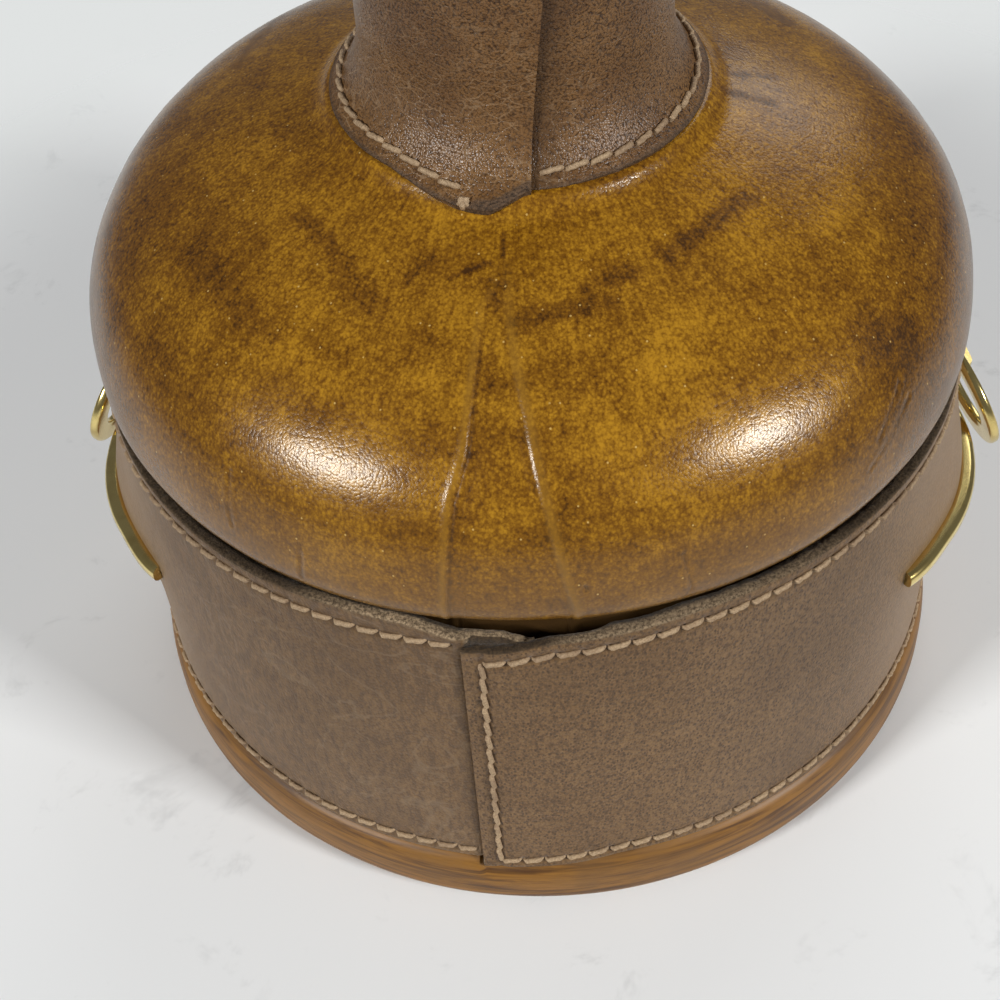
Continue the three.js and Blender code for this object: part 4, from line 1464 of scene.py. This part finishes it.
def thread_ends():
    """Three short ends of thread where the foot's row stops."""
    middle = foot_point(FOOT_ROW_END + 1.5)
    out = foot_out(middle)
    side = out.cross(Vector((0, 0, 1))).normalized()
    down = out.cross(side)
    ends = []
    for i in range(3):
        spread = i - 1
        start = middle + side * 0.3 * spread + out * 0.25 + down * 0.8
        end = start + down * (1.5 + 0.4 * (i % 2)) + side * (0.2 * spread - 0.4)
        ends.append(stitch(start, end, out, side))
    return ends


def make_sleeve_stitches():
    foot = [foot_point(past) for past in spaced(FOOT_ROW_START, FOOT_ROW_END, 300)]
    foot_shape = joined([stitch_row(foot, foot_out), *thread_ends()])
    new_stitches("sleeve_foot", foot_shape, stands_for=["sleeve_bottom_thread"])
    height = sleeve_high.z - SLEEVE_TOP_ROW
    top = []
    for past in spaced(3, 357, 240):
        outside, _ = sleeve_layers(past)
        top.append(sleeve_point(past, SLEEVE_RADIUS + outside + ROW_LIFT, height))
    new_stitches("sleeve_top", stitch_row(top, straight_out), stands_for=["sleeve_top_thread"])


# Brass fittings


def rounded_bar(width, height, corner):
    """Section of a bar with round corners: sideways and upward offsets from its middle."""
    across, up = width / 2 - corner, height / 2 - corner
    return [
        *arc((across, up), corner, 0, 90),
        *arc((-across, up), corner, 90, 180),
        *arc((-across, -up), corner, 180, 270),
        *arc((across, -up), corner, 270, 360),
    ]


def on_side(points, side):
    """Points of the right side, or their mirror image on the left one, where side is -1."""
    return [Vector((side * x, y, z)) for x, y, z in points]


def make_crescent(name, side):
    half_chord = BODY_RADIUS * math.sin(math.radians(CRESCENT_SPREAD))
    reach = BODY_RADIUS + CRESCENT_STAND
    rise = reach - BODY_RADIUS * math.cos(math.radians(CRESCENT_SPREAD))
    arc_radius = (half_chord ** 2 + rise ** 2) / (2 * rise)
    centre = polar(reach - arc_radius, CRESCENT_MIDDLE, CRESCENT_HEIGHT)
    spread = math.degrees(math.asin(half_chord / arc_radius)) + CRESCENT_OVERRUN
    bar = rounded_bar(CRESCENT_BAR, CRESCENT_BAR, CRESCENT_ROUND)
    sections = []
    for i, degrees in enumerate(spaced(CRESCENT_MIDDLE - spread, CRESCENT_MIDDLE + spread, CRESCENT_STEPS)):
        lift = polar(CRESCENT_LIFT * between(CRESCENT_LIFT_STEPS, 0, i), degrees, 0)
        section = [centre + lift + polar(arc_radius + across, degrees, up) for across, up in bar]
        sections.append(on_side(section, side))
    new_piece(
        name + "_brass_crescent", loft(sections, closed=False), brass,
        stands_for=[name + "_crescent"], crease=35)


def make_ring(name, side):
    middle = (RING_OUTER + RING_INNER) / 2
    bar = rounded_bar(RING_OUTER - RING_INNER, RING_THICKNESS, RING_EDGE)
    lean = Matrix.Rotation(math.radians(90 - RING_LEAN), 3, "Y")
    turn = Matrix.Rotation(math.radians(RING_TURN), 3, "Z")
    centre = Vector((BODY_RADIUS + RING_STAND_OUT, RING_FORWARD, CRESCENT_HEIGHT - RING_DROP))
    sections = []
    for degrees in all_round(96):
        section = [turn @ lean @ polar(middle + across, degrees, up) + centre for across, up in bar]
        sections.append(on_side(section, side))
    new_piece(
        name + "_brass_ring", loft(sections, closed=True), brass, body=name + "_ring",
        stands_for=[name + "_ring"], crease=35)


def dress_fittings(name):
    """The staple and the backing plate are the solids themselves."""
    for part in ("_ring_staple", "_backing_plate"):
        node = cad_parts[name + part]
        node.data.materials.clear()
        node.data.materials.append(brass)
    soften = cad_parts[name + "_ring_staple"].modifiers.new("soft_edges", "BEVEL")
    soften.width = 0.3 * MM
    soften.segments = 3


# Bottle


def bottle_hollow():
    """Inside of the bottle, from the root of its neck down to the middle of its floor."""
    inside = WAIST_RADIUS - JACKET_THICKNESS - SEAT_GAP - GLASS_WALL
    floor = bottle_low.z + GLASS_FLOOR
    dome = []
    for r, z in moved_out(even(SHOULDER_LINE, BOTTLE_STEP), -JACKET_THICKNESS - SEAT_GAP - GLASS_WALL):
        if r > BORE_RADIUS + 5 and z > WAIST_HEIGHT + 4:
            dome.append((r, z))
    start = dome[-1]
    bore = bezier(
        start,
        (BORE_RADIUS + 1.5, start[1] + 2),
        (BORE_RADIUS, NECK_ROOT_HEIGHT - 4),
        (BORE_RADIUS, NECK_ROOT_HEIGHT), 10)
    return [
        *reversed(bore),
        *reversed(dome[:-1]),
        (inside, WAIST_HEIGHT),
        *arc((inside - GLASS_CORNER, floor + GLASS_CORNER), GLASS_CORNER, 0, -90, 8),
        (0.0, floor),
    ]


def make_bottle():
    dome = moved_out(even(SHOULDER_LINE, BOTTLE_STEP), -JACKET_THICKNESS - SEAT_GAP)[:-1]
    outside = WAIST_RADIUS - JACKET_THICKNESS - SEAT_GAP
    neck = SLEEVE_RADIUS - SLEEVE_THICKNESS - SEAT_GAP
    bottom, top = bottle_low.z, bottle_high.z
    end = dome[-1]
    root = bezier(end, (neck + 1, end[1] + 1), (neck, NECK_ROOT_HEIGHT - 3), (neck, NECK_ROOT_HEIGHT), 10)
    section = [
        (0.0, bottom),
        *arc((outside - GLASS_CORNER, bottom + GLASS_CORNER), GLASS_CORNER, -90, 0, 8),
        *dome,
        *root[1:],
        (neck, top - LIP_HEIGHT),
        (SLEEVE_RADIUS - 0.4, top - LIP_HEIGHT + 0.3),
        (SLEEVE_RADIUS, top - LIP_HEIGHT + 1),
        *arc((SLEEVE_RADIUS - LIP_ROUND, top - LIP_ROUND), LIP_ROUND, 0, 90, 8),
        *arc((BORE_RADIUS + 1, top - 1), 1, 90, 180, 5),
        *bottle_hollow(),
    ]
    new_piece("blown_bottle", turned(section, 160), clear_glass, stands_for=["glass_bottle"])


# Stopper


def head_line(radius, rise):
    """Side and top of the stopper's head, from its stem's upper end to the axis."""
    shoulder = HEAD_BOTTOM + HEAD_STEM
    return bezier(
        (radius, shoulder),
        (radius, shoulder + HEAD_SIDE_FULLNESS * rise),
        (HEAD_TOP_FULLNESS * radius, shoulder + rise),
        (0.0, shoulder + rise), 40)


def make_cork_piece():
    widest = cork_high.x
    inside = DOWEL_RADIUS + SEAT_GAP
    narrow = widest - CORK_TAPER

    def section_at(degrees):
        wave = waves(polar(12, degrees, 0), [CORK_WAVE]) - CORK_WAVE[0]
        return [
            (inside, cork_low.z),
            (narrow - CORK_BEVEL, cork_low.z),
            *even([(narrow + wave, cork_low.z + CORK_BEVEL), (widest + wave, cork_high.z - 1.5)], 2),
            (widest + wave, cork_high.z),
            (inside, cork_high.z),
        ]

    new_piece(
        "tapered_cork", lathe(section_at, all_round(120)), natural_cork, body="stopper",
        stands_for=["stopper_cork"])


def make_head():
    section = [
        (0.0, core_low.z),
        (DOWEL_RADIUS - DOWEL_BEVEL, core_low.z),
        (DOWEL_RADIUS, core_low.z + DOWEL_BEVEL),
        (DOWEL_RADIUS, HEAD_BOTTOM),
        (HEAD_RADIUS - HEAD_EDGE, HEAD_BOTTOM),
        *arc((HEAD_RADIUS - HEAD_EDGE, HEAD_BOTTOM + HEAD_EDGE), HEAD_EDGE, -90, 0, 4),
        *head_line(HEAD_RADIUS, core_high.z - HEAD_BOTTOM - HEAD_STEM),
    ]
    new_piece(
        "turned_head", turned(section, 120), oiled_wood, body="stopper",
        stands_for=["stopper_core"])


def make_cap():
    inside = HEAD_RADIUS + SEAT_GAP
    outside = cap_high.x
    rise = cap_high.z - HEAD_BOTTOM - HEAD_STEM
    outer = even([(outside, cap_low.z + CAP_EDGE), *head_line(outside, rise)], 0.6)
    normals = outward(outer)
    inner = even(head_line(inside, rise - JACKET_THICKNESS), 2.0)

    def section_at(degrees):
        skin = []
        for (r, z), (nr, nz) in zip(outer, normals):
            relief = waves(polar(r, degrees, z), [CAP_WAVE]) * between(0, 6, r) - 0.1
            skin.append((max(r + nr * relief, 0.0), z + nz * relief))
        skin[-1] = (0.0, skin[-1][1])
        return [*reversed(inner), (inside, cap_low.z), (outside - CAP_EDGE, cap_low.z), *skin]

    piece = new_piece(
        "moulded_cap", lathe(section_at, all_round(200)), moulded_leather, body="stopper",
        stands_for=["stopper_cover"])
    paint(piece, "stain_and_shade", lambda point: between(0.1, 0.7, ripple(point, 7)) * 0.6)
    paint(piece, "worn", lambda point: 0.0)


def make_trim():
    low, high = trim_low.z, trim_high.z
    outside = trim_high.x
    inside = outside - TRIM_THICKNESS
    row = (low + high) / 2

    def section_at(degrees):
        wave = waves(polar(25, degrees, 0), [TRIM_WAVE]) - TRIM_WAVE[0]
        face = []
        for z in spaced(low + TRIM_EDGE, high - TRIM_EDGE, 20):
            face.append((outside + wave - TRIM_GROOVE * bell(z - row, TRIM_GROOVE_WIDTH), z))
        return [
            (inside, low),
            *arc((face[0][0] - TRIM_EDGE, low + TRIM_EDGE), TRIM_EDGE, -90, -15, 4),
            *face,
            *arc((face[-1][0] - TRIM_EDGE, high - TRIM_EDGE), TRIM_EDGE, 15, 90, 4),
            (inside, high),
        ]

    piece = new_piece(
        "stopper_band", lathe(section_at, all_round(260)), band_leather, body="stopper",
        stands_for=["stopper_trim"])
    paint(piece, "raw", lambda point: by_edges(low, high, point[2], 0.1))
    paint(piece, "worn", lambda point: 0.4)
    paint(piece, "groove", lambda point: bell(point[2] - row, 0.55))
    path = [polar(outside - TRIM_GROOVE, degrees, row) for degrees in spaced(0, 360, 240)]
    new_stitches("stopper_band", stitch_row(path, straight_out), body="stopper")


make_shoulder()
make_cup()
make_base_pad()
make_band()
make_band_stitches()
make_sleeve()
make_sleeve_stitches()
for fitting_name, fitting_side in (("right", 1), ("left", -1)):
    make_crescent(fitting_name, fitting_side)
    make_ring(fitting_name, fitting_side)
    dress_fittings(fitting_name)
make_bottle()
make_cork_piece()
make_head()
make_cap()
make_trim()


# Studio


def make_floor():
    mesh = bpy.data.meshes.new("floor")
    corners = [(Vector(FLOOR_MIDDLE) + polar(FLOOR_SIZE, degrees, 0)) * MM for degrees in range(0, 360, 5)]
    mesh.from_pydata(corners, [], [tuple(range(len(corners)))])
    mesh.materials.append(make_floor_paint())
    floor = bpy.data.objects.new("floor", mesh)
    bpy.context.scene.collection.objects.link(floor)


def softbox(name, azimuth, elevation, width, height, brightness):
    """A square of light of an even brightness that faces the decanter; 1 is as bright as white paper."""
    lamp = bpy.data.lights.new(name, "AREA")
    lamp.shape = "RECTANGLE"
    lamp.size = width
    lamp.size_y = height
    lamp.energy = brightness * math.pi * width * height
    box = bpy.data.objects.new(name, lamp)
    around, up = math.radians(azimuth), math.radians(elevation)
    away = Vector((math.cos(up) * math.cos(around), math.cos(up) * math.sin(around), math.sin(up)))
    box.location = Vector((0, 0, LIGHT_AIM)) + away * LIGHT_DISTANCE
    box.rotation_euler = away.to_track_quat("Z", "Y").to_euler()
    box.visible_camera = False
    bpy.context.scene.collection.objects.link(box)


def make_sky():
    """A dim room with pale surroundings, which the camera sees and which show in brass and glass."""
    world = bpy.data.worlds.new("studio")
    bpy.context.scene.world = world
    sky = Look("studio", world)
    camera = sky.node("ShaderNodeLightPath", output="Is Camera Ray")
    glossy = sky.node("ShaderNodeLightPath", output="Is Glossy Ray")
    through_glass = sky.node("ShaderNodeLightPath", output="Is Transmission Ray")
    direction = sky.node("ShaderNodeTexCoord", output="Generated")
    near_floor = 1.0 - sky.part(direction, "Z").between(*BACKGROUND_FADE)
    seen = camera + through_glass + glossy * near_floor
    colour = sky.mixed(seen, ROOM, BACKGROUND)
    light = sky.node("ShaderNodeBackground", None, {"Color": colour, "Strength": 1.0})
    sky.node("ShaderNodeOutputWorld", None, {"Surface": light})


def make_camera():
    data = bpy.data.cameras.new("photo_camera")
    data.lens = LENS
    data.sensor_width = 36.0
    data.clip_start = 0.01
    camera = bpy.data.objects.new("photo_camera", data)
    around = Matrix.Rotation(math.radians(CAMERA_AZIMUTH), 4, "Z")
    turn = (
        Matrix.Rotation(math.radians(90 - CAMERA_TILT), 4, "X")
        @ Matrix.Rotation(math.radians(-CAMERA_PAN), 4, "Y")
        @ Matrix.Rotation(math.radians(-CAMERA_ROLL), 4, "Z"))
    stand = Matrix.Translation(Vector((0, -CAMERA_DISTANCE, CAMERA_HEIGHT)) * MM)
    camera.matrix_world = around @ stand @ turn
    bpy.context.scene.collection.objects.link(camera)
    bpy.context.scene.camera = camera


make_floor()
make_sky()
make_camera()
softbox("left_softbox", azimuth=-138, elevation=26, width=0.70, height=0.52, brightness=66.0)
softbox("right_softbox", azimuth=-29, elevation=25, width=0.70, height=0.52, brightness=66.0)
softbox("back_softbox", azimuth=75, elevation=30, width=2.20, height=1.40, brightness=2.4)
bpy.context.scene.view_settings.view_transform = "Standard"
